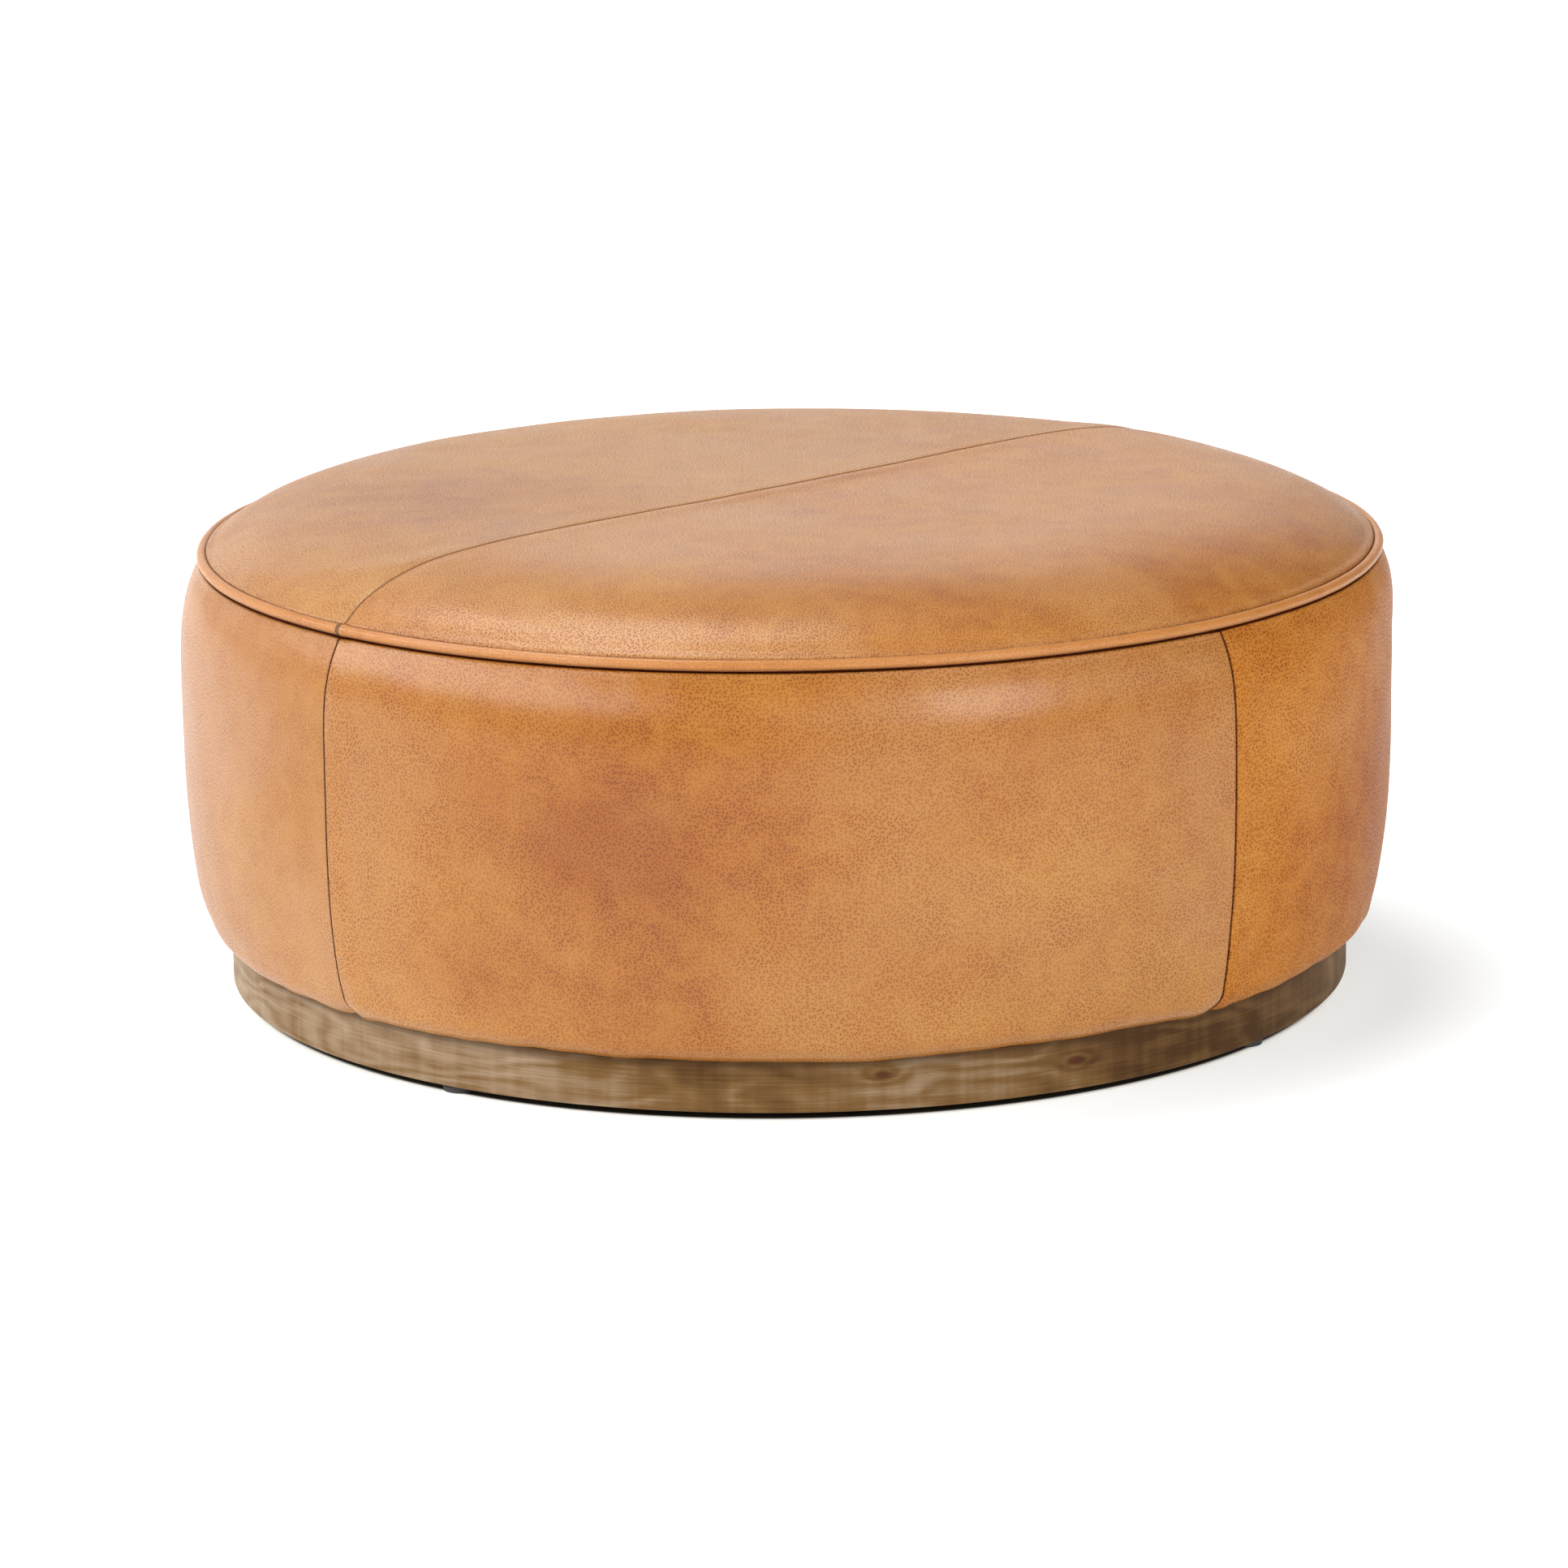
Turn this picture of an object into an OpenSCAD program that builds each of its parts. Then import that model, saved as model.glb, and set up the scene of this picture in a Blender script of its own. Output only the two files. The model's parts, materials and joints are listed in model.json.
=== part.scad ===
// Round drum ottoman: a crowned leather seat pad and a padded leather wall
// over a timber and plywood frame, on a recessed ring plinth with four
// screw-in levelling feet. The front faces -Y. The origin is on the floor,
// under the centre. All sizes are in millimetres.

/* [Overall size] */
// Widest diameter of the padded wall
overall_d = 1016; // [960:2:1060]
// Height from the floor to the middle of the crown
overall_h = 414; // [400:1:430]
// Angle from the front to the first wall seam, seen from above
seam_azimuth = -46; // [-60:1:-30]

/* [Leather cover] */
// Thickness of the leather
leather_t = 1.4; // [1:0.1:2]
// Height that the crown rises above the seam round its edge
crown_rise = 50; // [40:0.5:55]
// How flat the crown is in the middle and how sharply it falls at its edge
crown_power = 13; // [8:0.5:14]
// How far the wall leans in towards the piping
shoulder_in = 19.5; // [12:0.5:22]
// How far the wall leans in towards the floor
foot_in = 13; // [6:1:14]
// Radius of the roll where the wall turns under
roll_r = 22; // [18:1:24]
// Diameter of the piping
piping_d = 9; // [7:0.5:11]
// Diameter of the cord inside the piping
piping_cord_d = 6; // [5:0.5:6.5]
// Width of the leather turned in under the base board
hem_w = 53; // [40:1:60]

/* [Padding] */
// Thickness of the fibre wadding under the leather
batting_t = 6; // [4:0.5:8]
// Thickness of the seat foam in the middle
top_foam_t = 62; // [55:1:70]

/* [Frame] */
// Thickness of the plywood deck
deck_t = 18; // [15:1:21]
// Radius of the deck, the hoop and the base board
frame_r = 470; // [465:1:472]
// Thickness of the bent hardboard hoop
hoop_t = 5; // [4:0.5:6]
// Number of posts between the base board and the deck
post_count = 8; // [8:4:8]
// Width of a square post
post_w = 45; // [40:1:48]
// Width of a deck rail
rail_w = 40; // [35:1:45]
// Height of a deck rail
rail_h = 60; // [50:2:70]
// Thickness of the base board
base_t = 18; // [15:1:20]
// Radius of the hole in the base board
base_hole_r = 300; // [250:10:340]
// Diameter of a breather hole in the deck
vent_d = 40; // [30:2:50]

/* [Plinth] */
// Radius of the plinth's outer face
plinth_r = 472; // [468:1:474]
// Height of the plinth
plinth_h = 43; // [41:1:46]
// Thickness of the plinth wall with its veneer
plinth_t = 36; // [32:1:40]
// Thickness of the oak veneer
veneer_t = 2; // [1:0.5:3]
// Number of core segments
core_count = 8; // [8:4:8]

/* [Levelling feet] */
// Gap between the floor and the plinth with the feet screwed in
foot_gap = 7; // [7:0.5:9]
// Azimuth of the first foot
foot_azimuth = 54.5; // [50:0.5:58]
// Distance from the centre to each foot
foot_r = 452; // [450:1:455]
// Diameter of a foot pad
pad_d = 30; // [26:1:32]
// Thread diameter of a levelling stem
stem_d = 8; // [8:1:8]
// Travel of a levelling foot
foot_travel = 12; // [8:1:15]

/* [Hidden] */
$fn = 96;

leather = [0.78, 0.53, 0.33];
piping_leather = [0.82, 0.58, 0.40];
wadding = [0.93, 0.93, 0.90];
foam = [0.93, 0.85, 0.60];
cord_white = [0.90, 0.90, 0.85];
plywood = [0.80, 0.68, 0.48];
pine = [0.86, 0.74, 0.52];
hardboard = [0.45, 0.32, 0.20];
oak = [0.53, 0.40, 0.27];
black_cloth = [0.08, 0.08, 0.08];
steel = [0.62, 0.63, 0.65];
black_nylon = [0.05, 0.05, 0.05];

// Wall and crown
wall_r = overall_d / 2;
seam_z = overall_h - crown_rise;
belly_z = 250;
shoulder_power = 4;
foot_power = 2.8;
hem_z = foot_gap + plinth_h;
roll_z = hem_z + roll_r;
roll_c_r = wall_r - foot_in - roll_r;
hem_in_r = roll_c_r - hem_w;
wall_top_r = wall_r - shoulder_in;
crown_r = wall_top_r - 3.5;
wall_steps = 14;
arc_steps = 8;
crown_steps = 26;

// Piping, centred just above and inside the wall's top edge
piping_gap = 0.1;
piping_r = wall_top_r - 1.1;
piping_z = seam_z + piping_d / 2 + piping_gap;

// Frame heights
base_z = hem_z + leather_t;
frame_z = base_z + base_t;
deck_z = overall_h - leather_t - batting_t - top_foam_t - deck_t;
deck_top_z = deck_z + deck_t;
post_r = frame_r - hoop_t - post_w / 2 - 8;
post_step = 360 / post_count;
post_start = seam_azimuth + post_step / 2;
skin_gap = 0.2;
wadding_depth = leather_t + skin_gap;
pad_skin = leather_t + batting_t;
rail_reach = post_r - post_w / 2;
vent_r = 250;
vent_count = 8;

// Screws
screw_d = 4.5;
screw_head_d = 9;
screw_head_t = 3;
deck_screw_l = 60;
post_screw_l = 60;
plinth_screw_l = 50;
plinth_screw_turn = -10;

// Plinth core
core_step = 360 / core_count;
core_out_r = plinth_r - veneer_t;
core_in_r = plinth_r - plinth_t;
edge_round = 1.5;

// Dust cover
dust_t = 0.6;
dust_r = core_in_r - 2;
staple_count = 32;
staple_w = 10;
staple_d = 1.2;
staple_h = 0.5;

// Levelling feet: pad, captive stem foot, hexagon collar and thread
pad_h = 5;
pad_edge = 1.5;
stem_r = stem_d / 2;
run_gap = 0.05;
stem_foot_r = 6;
stem_foot_z = 2.5;
stem_foot_t = 1.5;
collar_af = 13;
collar_gap = 0.15;
stem_top_z = foot_gap + 38;
insert_l = 20;
insert_r = 6;
insert_flange_r = 9;
insert_flange_t = 1.5;
stem_hole_r = 4.5;
stem_hole_top = foot_gap + 40;

// A place at a distance and an azimuth from the front, turned so that its
// own +X points outwards
module at_azimuth(azimuth, radius)
    rotate([0, 0, azimuth - 90])
        translate([radius, 0, 0])
            children();

module foot_places()
    for (i = [0:3])
        at_azimuth(foot_azimuth + 90 * i, foot_r)
            children();

// Radius of the wall's outer face at a height above the roll
function wall_at(z) =
    wall_r
    - shoulder_in * pow(max(0, (z - belly_z) / (seam_z - belly_z)), shoulder_power)
    - foot_in * pow(max(0, (belly_z - z) / (belly_z - roll_z)), foot_power);

// Outline of the wall from a height down to the hem, set in by a depth
function wall_line(depth, top_z, in_r) = concat(
    [for (i = [0:wall_steps])
        let (z = top_z + (roll_z - top_z) * i / wall_steps)
        [wall_at(z) - depth, z]],
    [for (i = [1:arc_steps])
        let (a = -90 * i / arc_steps)
        [roll_c_r + (roll_r - depth) * cos(a), roll_z + (roll_r - depth) * sin(a)]],
    [[in_r, hem_z + depth]]
);

// Point of the crown at a share of its radius, set in by a depth
function crown_point(share, depth) =
    let (fall = crown_rise * crown_power * pow(share, crown_power - 1) / crown_r)
    let (lean = atan(fall))
    [max(0, share * crown_r - depth * sin(lean)),
     seam_z + crown_rise * (1 - pow(share, crown_power)) - depth * cos(lean)];

function crown_line(depth) =
    [for (i = [0:crown_steps]) crown_point(sin(90 * i / crown_steps), depth)];

function reversed(list) = [for (i = [len(list) - 1:-1:0]) list[i]];

// A ring or part of a ring with a given outline, from an azimuth
module swept(azimuth, angle)
    rotate([0, 0, azimuth - 90])
        rotate_extrude(angle = angle)
            children();

module top_panel(azimuth)
    color(leather)
        swept(azimuth, 180)
            polygon(concat(crown_line(0), reversed(crown_line(leather_t))));

module side_panel(azimuth)
    color(leather)
        difference() {
            swept(azimuth, 90)
                polygon(concat(
                    wall_line(0, seam_z, hem_in_r),
                    reversed(wall_line(leather_t, seam_z, hem_in_r))));
            plinth_screw_places()
                screw(plinth_screw_l);
        }

module piping_cover()
    color(piping_leather)
        rotate_extrude()
            translate([piping_r, piping_z])
                difference() {
                    circle(d = piping_d, $fn = 48);
                    circle(d = piping_cord_d, $fn = 48);
                }

module piping_cord()
    color(cord_white)
        rotate_extrude()
            translate([piping_r, piping_z])
                circle(d = piping_cord_d, $fn = 48);

module top_batting()
    color(wadding)
        rotate_extrude()
            polygon(concat(crown_line(wadding_depth), reversed(crown_line(pad_skin))));

module top_foam()
    color(foam)
        rotate_extrude()
            polygon(concat(
                crown_line(pad_skin),
                [[wall_at(deck_top_z) - pad_skin, deck_top_z], [0, deck_top_z]]));

module side_batting()
    color(wadding)
        rotate_extrude()
            polygon(concat(
                wall_line(wadding_depth, seam_z, frame_r),
                reversed(wall_line(pad_skin, deck_top_z, frame_r)),
                [crown_point(1, pad_skin), crown_point(1, wadding_depth)]));

module side_foam()
    color(foam)
        rotate_extrude()
            polygon(concat(
                wall_line(pad_skin, deck_top_z, frame_r),
                [[frame_r, deck_top_z]]));

// A countersunk-flat wood screw with its head's top at z = 0
module screw(length) {
    translate([0, 0, -screw_head_t])
        cylinder(d = screw_head_d, h = screw_head_t);
    translate([0, 0, -length])
        cylinder(d = screw_d, h = length - screw_head_t);
}

module post_places(radius = post_r)
    for (i = [0:post_count - 1])
        at_azimuth(post_start + post_step * i, radius)
            children();

module deck_screw_places()
    translate([0, 0, deck_top_z])
        post_places()
            children();

module post_screw_places()
    translate([0, 0, base_z])
        post_places()
            mirror([0, 0, 1])
                children();

module plinth_screw_places()
    translate([0, 0, frame_z])
        for (i = [0:core_count - 1])
            at_azimuth(foot_azimuth + plinth_screw_turn + core_step * i, core_in_r + plinth_t / 2)
                children();

module deck()
    color(plywood)
        difference() {
            translate([0, 0, deck_z])
                cylinder(r = frame_r, h = deck_t);
            for (i = [0:vent_count - 1])
                at_azimuth(post_start + 360 / vent_count * (i + 0.5), vent_r)
                    translate([0, 0, deck_z - 1])
                        cylinder(d = vent_d, h = deck_t + 2);
            deck_screw_places()
                screw(deck_screw_l);
        }

module deck_screws()
    color(steel)
        deck_screw_places()
            screw(deck_screw_l);

module wall_hoop()
    color(hardboard)
        rotate_extrude()
            translate([frame_r - hoop_t, frame_z])
                square([hoop_t, deck_z - frame_z]);

module post(index)
    color(pine)
        difference() {
            at_azimuth(post_start + post_step * index, post_r)
                translate([-post_w / 2, -post_w / 2, frame_z])
                    cube([post_w, post_w, deck_z - frame_z]);
            deck_screw_places()
                screw(deck_screw_l);
            post_screw_places()
                screw(post_screw_l);
        }

module post_screws()
    color(steel)
        post_screw_places()
            screw(post_screw_l);

// A deck rail between two opposite posts, halved where the rails cross
module rail(azimuth, notch_z)
    color(pine)
        rotate([0, 0, azimuth - 90])
            difference() {
                translate([-rail_reach, -rail_w / 2, deck_z - rail_h])
                    cube([2 * rail_reach, rail_w, rail_h]);
                translate([-rail_w / 2, -rail_w / 2 - 1, notch_z])
                    cube([rail_w, rail_w + 2, rail_h / 2]);
            }

module rail_lower()
    rail(post_start, deck_z - rail_h / 2);

module rail_upper()
    rail(post_start + 90, deck_z - rail_h);

module base_board()
    color(plywood)
        difference() {
            translate([0, 0, base_z])
                cylinder(r = frame_r, h = base_t);
            translate([0, 0, base_z - 1])
                cylinder(r = base_hole_r, h = base_t + 2);
            post_screw_places()
                screw(post_screw_l);
            plinth_screw_places()
                screw(plinth_screw_l);
        }

module dust_cover()
    color(black_cloth)
        translate([0, 0, hem_z - dust_t])
            cylinder(r = dust_r, h = dust_t);

module dust_cover_staples()
    color(steel)
        for (i = [0:staple_count - 1])
            at_azimuth(360 / staple_count * i, dust_r - 6)
                translate([-staple_d / 2, -staple_w / 2, hem_z - dust_t - staple_h])
                    cube([staple_d, staple_w, staple_h]);

// Plinth section with its lower outer edge eased
module plinth_section(in_r, out_r)
    translate([in_r, foot_gap])
        polygon(concat(
            [[0, 0]],
            [for (i = [0:4])
                let (a = -90 + 22.5 * i)
                [out_r - in_r - edge_round + edge_round * cos(a), edge_round + edge_round * sin(a)]],
            [[out_r - in_r, plinth_h], [0, plinth_h]]));

module plinth_veneer()
    color(oak)
        rotate_extrude()
            plinth_section(core_out_r, plinth_r);

module plinth_core(index)
    color(pine)
        difference() {
            swept(foot_azimuth + core_step * (index - 0.5), core_step)
                translate([core_in_r, foot_gap])
                    square([core_out_r - core_in_r, plinth_h]);
            foot_places() {
                translate([0, 0, foot_gap - 1])
                    cylinder(r = insert_flange_r, h = insert_flange_t + 1);
                cylinder(r = insert_r, h = foot_gap + insert_l);
                cylinder(r = stem_hole_r, h = stem_hole_top);
            }
            plinth_screw_places()
                screw(plinth_screw_l);
        }

module plinth_screws()
    color(steel)
        plinth_screw_places()
            screw(plinth_screw_l);

module leveller_inserts()
    color(steel)
        foot_places()
            translate([0, 0, foot_gap])
                difference() {
                    union() {
                        cylinder(r = insert_flange_r, h = insert_flange_t);
                        cylinder(r = insert_r, h = insert_l);
                    }
                    translate([0, 0, -1])
                        cylinder(r = stem_r + run_gap, h = insert_l + 2);
                }

module leveller_pad(index)
    color(black_nylon)
        at_azimuth(foot_azimuth + 90 * index, foot_r)
            difference() {
                union() {
                    cylinder(d = pad_d, h = pad_h - pad_edge);
                    translate([0, 0, pad_h - pad_edge])
                        cylinder(d1 = pad_d, d2 = pad_d - 2 * pad_edge, h = pad_edge);
                }
                translate([0, 0, stem_foot_z])
                    cylinder(r = stem_foot_r + run_gap, h = stem_foot_t);
                translate([0, 0, stem_foot_z])
                    cylinder(r = stem_r + run_gap, h = pad_h);
            }

module leveller_stem(index)
    color(steel)
        at_azimuth(foot_azimuth + 90 * index, foot_r) {
            translate([0, 0, stem_foot_z + run_gap])
                cylinder(r = stem_foot_r, h = stem_foot_t - 2 * run_gap);
            translate([0, 0, stem_foot_z + run_gap])
                cylinder(r = stem_r, h = stem_top_z - stem_foot_z - run_gap);
            translate([0, 0, pad_h + collar_gap])
                cylinder(d = collar_af / cos(30), h = foot_gap - pad_h - 2 * collar_gap, $fn = 6);
        }

top_panel(seam_azimuth);  // top_panel_front
top_panel(seam_azimuth + 180);  // top_panel_back
side_panel(seam_azimuth);  // side_panel_front
side_panel(seam_azimuth + 90);  // side_panel_right
side_panel(seam_azimuth + 180);  // side_panel_back
side_panel(seam_azimuth + 270);  // side_panel_left
piping_cover();
piping_cord();
top_batting();
side_batting();
top_foam();
side_foam();
deck();
deck_screws();
wall_hoop();
for (i = [1:post_count])
    post(i - 1);
post_screws();
rail_lower();
rail_upper();
base_board();
dust_cover();
dust_cover_staples();
plinth_veneer();
for (i = [1:core_count])
    plinth_core(i - 1);
plinth_screws();
leveller_inserts();
for (i = [1:4])
    leveller_pad(i - 1);
for (i = [1:4])
    leveller_stem(i - 1);
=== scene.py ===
# Round drum ottoman: leather panels, piping, stitching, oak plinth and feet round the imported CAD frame.
# Metres throughout. Azimuth 0 is the front (-Y) and grows towards +X, in degrees.

import json
import math

import bmesh
import bpy
import numpy as np
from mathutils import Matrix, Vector, noise


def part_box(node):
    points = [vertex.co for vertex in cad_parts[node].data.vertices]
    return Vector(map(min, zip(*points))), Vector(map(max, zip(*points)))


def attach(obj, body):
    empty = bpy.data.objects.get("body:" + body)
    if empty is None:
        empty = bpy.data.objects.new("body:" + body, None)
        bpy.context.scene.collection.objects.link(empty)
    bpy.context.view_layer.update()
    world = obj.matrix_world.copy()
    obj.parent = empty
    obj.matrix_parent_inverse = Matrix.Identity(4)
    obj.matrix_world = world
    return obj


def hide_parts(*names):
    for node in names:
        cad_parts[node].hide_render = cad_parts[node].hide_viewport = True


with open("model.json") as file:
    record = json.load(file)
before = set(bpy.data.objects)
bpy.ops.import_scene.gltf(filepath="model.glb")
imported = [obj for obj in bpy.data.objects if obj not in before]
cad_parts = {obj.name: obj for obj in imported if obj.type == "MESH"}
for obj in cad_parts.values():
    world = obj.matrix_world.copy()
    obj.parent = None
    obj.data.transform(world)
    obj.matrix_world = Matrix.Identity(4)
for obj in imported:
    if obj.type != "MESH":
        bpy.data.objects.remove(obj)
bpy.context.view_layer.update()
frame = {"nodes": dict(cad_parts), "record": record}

MM = 0.001

# ---- sizes that the CAD frame gives

side_low, side_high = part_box("side_panel_front")
pipe_low, pipe_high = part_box("piping_cover")
plinth_low, plinth_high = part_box("plinth_veneer")
dust_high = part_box("dust_cover")[1]

WALL_R = -side_low.y
SEAM_Z = side_high.z
HEM_Z = side_low.z
FIRST_SEAM = math.degrees(math.asin(side_low.x / WALL_R))
PIPE_R = (pipe_high.z - pipe_low.z) / 2
PIPE_RING_R = pipe_high.x - PIPE_R
PIPE_Z = (pipe_low.z + pipe_high.z) / 2
PLINTH_R = plinth_high.x
PLINTH_LOW = plinth_low.z
PLINTH_TOP = plinth_high.z
VENEER_T = 2 * MM
DUST_R = dust_high.x
DUST_Z = dust_high.z

# ---- sizes of the leather cover

LEATHER_T = 1.4 * MM
SKIVED_T = 0.8 * MM          # the leather is pared thin where it is folded into a seam
WADDING_T = 5.4 * MM
BELLY_Z = 0.250
SHOULDER_IN = 19.5 * MM
SHOULDER_POWER = 4
FOOT_IN = 13 * MM
FOOT_POWER = 2.8
ROLL_R = 22 * MM
HEM_W = 53 * MM
CROWN_R = 0.4847
CROWN_EDGE_Z = PIPE_Z + 4.4 * MM
CROWN_RISE = 43.2 * MM
CROWN_POWER = 8.8
CROWN_DISH = 2.8 * MM        # how much lower a flat middle lies than a domed one
FOLD_R = 1.2 * MM            # radius of a panel's edge where it turns into a seam
TOP_FOLD_R = 0.7 * MM
FOLD_DEPTH = 3.2 * MM
SEAM_GAP = 0.12 * MM         # from the seam's middle to each panel's folded edge
VALLEY = 0.7 * MM            # how far a seam draws the padding in
VALLEY_W = 11 * MM
ALLOWANCE_W = 13 * MM        # the turned-in edges lie under the panel after the seam
ALLOWANCE_T = 0.7 * MM
GROOVE = 1.6 * MM            # open height between the piping and the wall's shoulder
PULL = 9 * MM                # the rim stands this much further out towards its right rear
PULL_AZIMUTH = 100
PULL_SPREAD = 48
ROLL_DENTS = ((-95, 9 * MM, 6.0 * MM), (92, 8 * MM, 2.0 * MM))   # azimuth, height over hem, depth
DENT_SPREAD = 40             # degrees
DENT_H = 18 * MM

PANEL_COLUMNS = 150
CROWN_POINTS = 160           # points of the crown's outline before it turns down at the rim
OVAL_R = 30 * MM             # the crown panels' rows are flat ovals inside this radius
RING_R = 120 * MM            # and rings outside this one


def rad(degrees):
    return math.radians(degrees)


def smooth(x, low, high):
    """0 below low, 1 above high, and a smooth step between."""
    t = np.clip((x - low) / (high - low), 0, 1)
    return t * t * (3 - 2 * t)


def around(radius, azimuth, z):
    """The point at a radius, an azimuth in radians and a height."""
    return np.stack([radius * np.sin(azimuth), -radius * np.cos(azimuth), z + 0 * azimuth], -1)


def arc(centre_r, centre_z, radius, start, end, steps):
    """Points of an arc in the (radius, height) plane, angles in degrees from outwards."""
    angles = np.radians(np.linspace(start, end, steps))
    return np.stack([centre_r + radius * np.cos(angles), centre_z + radius * np.sin(angles)], -1)


# ---- outlines: (radius, height) from the crown's middle to the rim and from the rim to the hem

def wall_radius(z):
    shoulder = np.maximum(0, (z - BELLY_Z) / (SEAM_Z - BELLY_Z)) ** SHOULDER_POWER
    foot = np.maximum(0, (BELLY_Z - z) / (BELLY_Z - HEM_Z - ROLL_R)) ** FOOT_POWER
    return WALL_R - SHOULDER_IN * shoulder - FOOT_IN * foot


def wall_outline():
    """From the seam behind the piping, under it, over the shoulder and down to the turned-in hem."""
    tuck_r = 2.2 * MM
    shoulder_z = PIPE_Z - PIPE_R - GROOVE - tuck_r
    tuck_c = wall_radius(np.array(shoulder_z)) - tuck_r
    tuck = arc(tuck_c, shoulder_z, tuck_r, 160, 20, 12)
    under_pipe = arc(PIPE_RING_R, PIPE_Z, PIPE_R + 0.2 * MM, 205, 244, 6)
    face_z = np.linspace(shoulder_z, HEM_Z + ROLL_R, 120)[1:]
    face = np.stack([wall_radius(face_z), face_z], -1)
    roll_c = WALL_R - FOOT_IN - ROLL_R
    roll = arc(roll_c, HEM_Z + ROLL_R, ROLL_R, 0, -90, 16)[1:]
    hem = [[roll_c - HEM_W, HEM_Z]]
    return np.concatenate([under_pipe, tuck, face, roll, hem])


def crown_height(radius):
    share = radius / CROWN_R
    return (CROWN_EDGE_Z + CROWN_RISE * (1 - share ** CROWN_POWER)
            - CROWN_DISH * (1 - share ** 2))


def crown_outline():
    """From the middle to the rim, which turns down behind the piping."""
    turn_r = 3.4 * MM
    radius = np.sin(np.linspace(0, math.pi / 2, CROWN_POINTS)) * (CROWN_R - 2.0 * MM)
    dome = np.stack([radius, crown_height(radius)], -1)
    centre_r, centre_z = dome[-1] - turn_r * np.array([math.sin(rad(38)), math.cos(rad(38))])
    turn = arc(centre_r, centre_z, turn_r, 52, -8, 8)[1:]
    return np.concatenate([dome, turn, [turn[-1] - np.array([0.4, 3.2]) * MM]])


def lengths(line):
    """Distance along an outline to each of its points."""
    return np.concatenate([[0], np.cumsum(np.linalg.norm(np.diff(line, axis=0), axis=1))])


def resampled(line, at):
    along = lengths(line)
    return np.stack([np.interp(at, along, line[:, 0]), np.interp(at, along, line[:, 1])], -1)


def outward(line):
    """Unit normals of an outline, away from the padding."""
    slope = np.gradient(line, axis=0)
    normal = np.stack([-slope[:, 1], slope[:, 0]], -1)
    return normal / np.linalg.norm(normal, axis=1, keepdims=True)


# ---- meshes

def add_object(name, data):
    made = bpy.data.objects.new(name, data)
    bpy.context.scene.collection.objects.link(made)
    return made


def new_piece(name, verts, faces, body="root"):
    """A smooth-shaded piece that rides on a body."""
    mesh = bpy.data.meshes.new(name)
    mesh.from_pydata([tuple(v) for v in verts], [], faces)
    mesh.validate()
    mesh.update()
    mesh.polygons.foreach_set("use_smooth", [True] * len(mesh.polygons))
    piece = add_object(name, mesh)
    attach(piece, body)
    return piece


def two_sides(outer, inner):
    """The vertices of a shell: its outer grid, then its inner grid."""
    return np.concatenate([outer.reshape(-1, 3), inner.reshape(-1, 3)])


def grid_faces(rows, columns, start=0, closed=False, flip=False):
    """Quads of a grid of rows and columns; closed joins the last column to the first."""
    row = np.arange(rows - 1)[:, None]
    column = np.arange(columns if closed else columns - 1)[None, :]
    after = (column + 1) % columns
    quads = np.stack([row * columns + column, row * columns + after,
                      (row + 1) * columns + after, (row + 1) * columns + column], -1)
    quads = quads.reshape(-1, 4) + start
    return (quads[:, ::-1] if flip else quads).tolist()


def shell_faces(rows, columns, slit=None):
    """Quads of a closed shell: an outer grid, an inner grid after it, and the strips round the edge.
    The two halves of a slit first row lie on each other to be welded, so that row has strips only
    on its first and last few columns."""
    inner = rows * columns
    faces = grid_faces(rows, columns) + grid_faces(rows, columns, inner, flip=True)
    rim = ([c for c in range(columns)]
           + [r * columns + columns - 1 for r in range(1, rows)]
           + [(rows - 1) * columns + c for c in range(columns - 2, -1, -1)]
           + [r * columns for r in range(rows - 2, 0, -1)])
    for here, after in zip(rim, rim[1:] + rim[:1]):
        if slit is None or not slit <= here < after < columns - slit:
            faces.append([after, here, here + inner, after + inner])
    return faces


def round_shell_faces(rows, columns, hole):
    """Quads of a closed shell round the axis: an outer grid, an inner grid after it, and the strips
    that join them at the last row and, round a hole, at the first."""
    inner = rows * columns
    last = inner - columns
    faces = (grid_faces(rows, columns, closed=True)
             + grid_faces(rows, columns, inner, closed=True, flip=True))
    for c in range(columns):
        after = (c + 1) % columns
        if hole:
            faces.append([after, c, c + inner, after + inner])
        faces.append([last + c, last + after, last + after + inner, last + c + inner])
    return faces


def rod_faces(rings, sides, start):
    """Faces of a closed rod: its rings of vertices joined, and a cap on each end."""
    first_cap = range(start, start + sides)
    last_cap = range(start + (rings - 1) * sides, start + rings * sides)
    return grid_faces(rings, sides, start, closed=True) + [list(first_cap)[::-1], list(last_cap)]


def reworked(piece, change):
    """Applies a bmesh change to a piece's mesh."""
    work = bmesh.new()
    work.from_mesh(piece.data)
    change(work)
    work.to_mesh(piece.data)
    work.free()


def weld(piece):
    """Joins the vertices of a mesh that lie on one another."""
    reworked(piece, lambda work: bmesh.ops.remove_doubles(work, verts=work.verts, dist=1e-6))


def recalculate(piece):
    """Points a closed mesh's faces outwards."""
    reworked(piece, lambda work: bmesh.ops.recalc_face_normals(work, faces=work.faces))


def paint_layer(piece, name, values):
    """Stores one number for each vertex; a shell's inside repeats its outside."""
    layer = piece.data.attributes.new(name, "FLOAT", "POINT")
    sides = len(piece.data.vertices) // values.size
    layer.data.foreach_set("value", np.tile(values.ravel(), sides).astype(np.float32))


def set_hide_uv(piece, flat):
    """Lays the leather's grain coordinates, in metres, on a piece's own vertices."""
    layer = piece.data.uv_layers.new(name="hide")
    corners = np.zeros(len(piece.data.loops), int)
    piece.data.loops.foreach_get("vertex_index", corners)
    layer.data.foreach_set("uv", flat[corners].astype(np.float32).ravel())


# ---- the padded skin: a cloth simulation drawn tight over the foam

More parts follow.
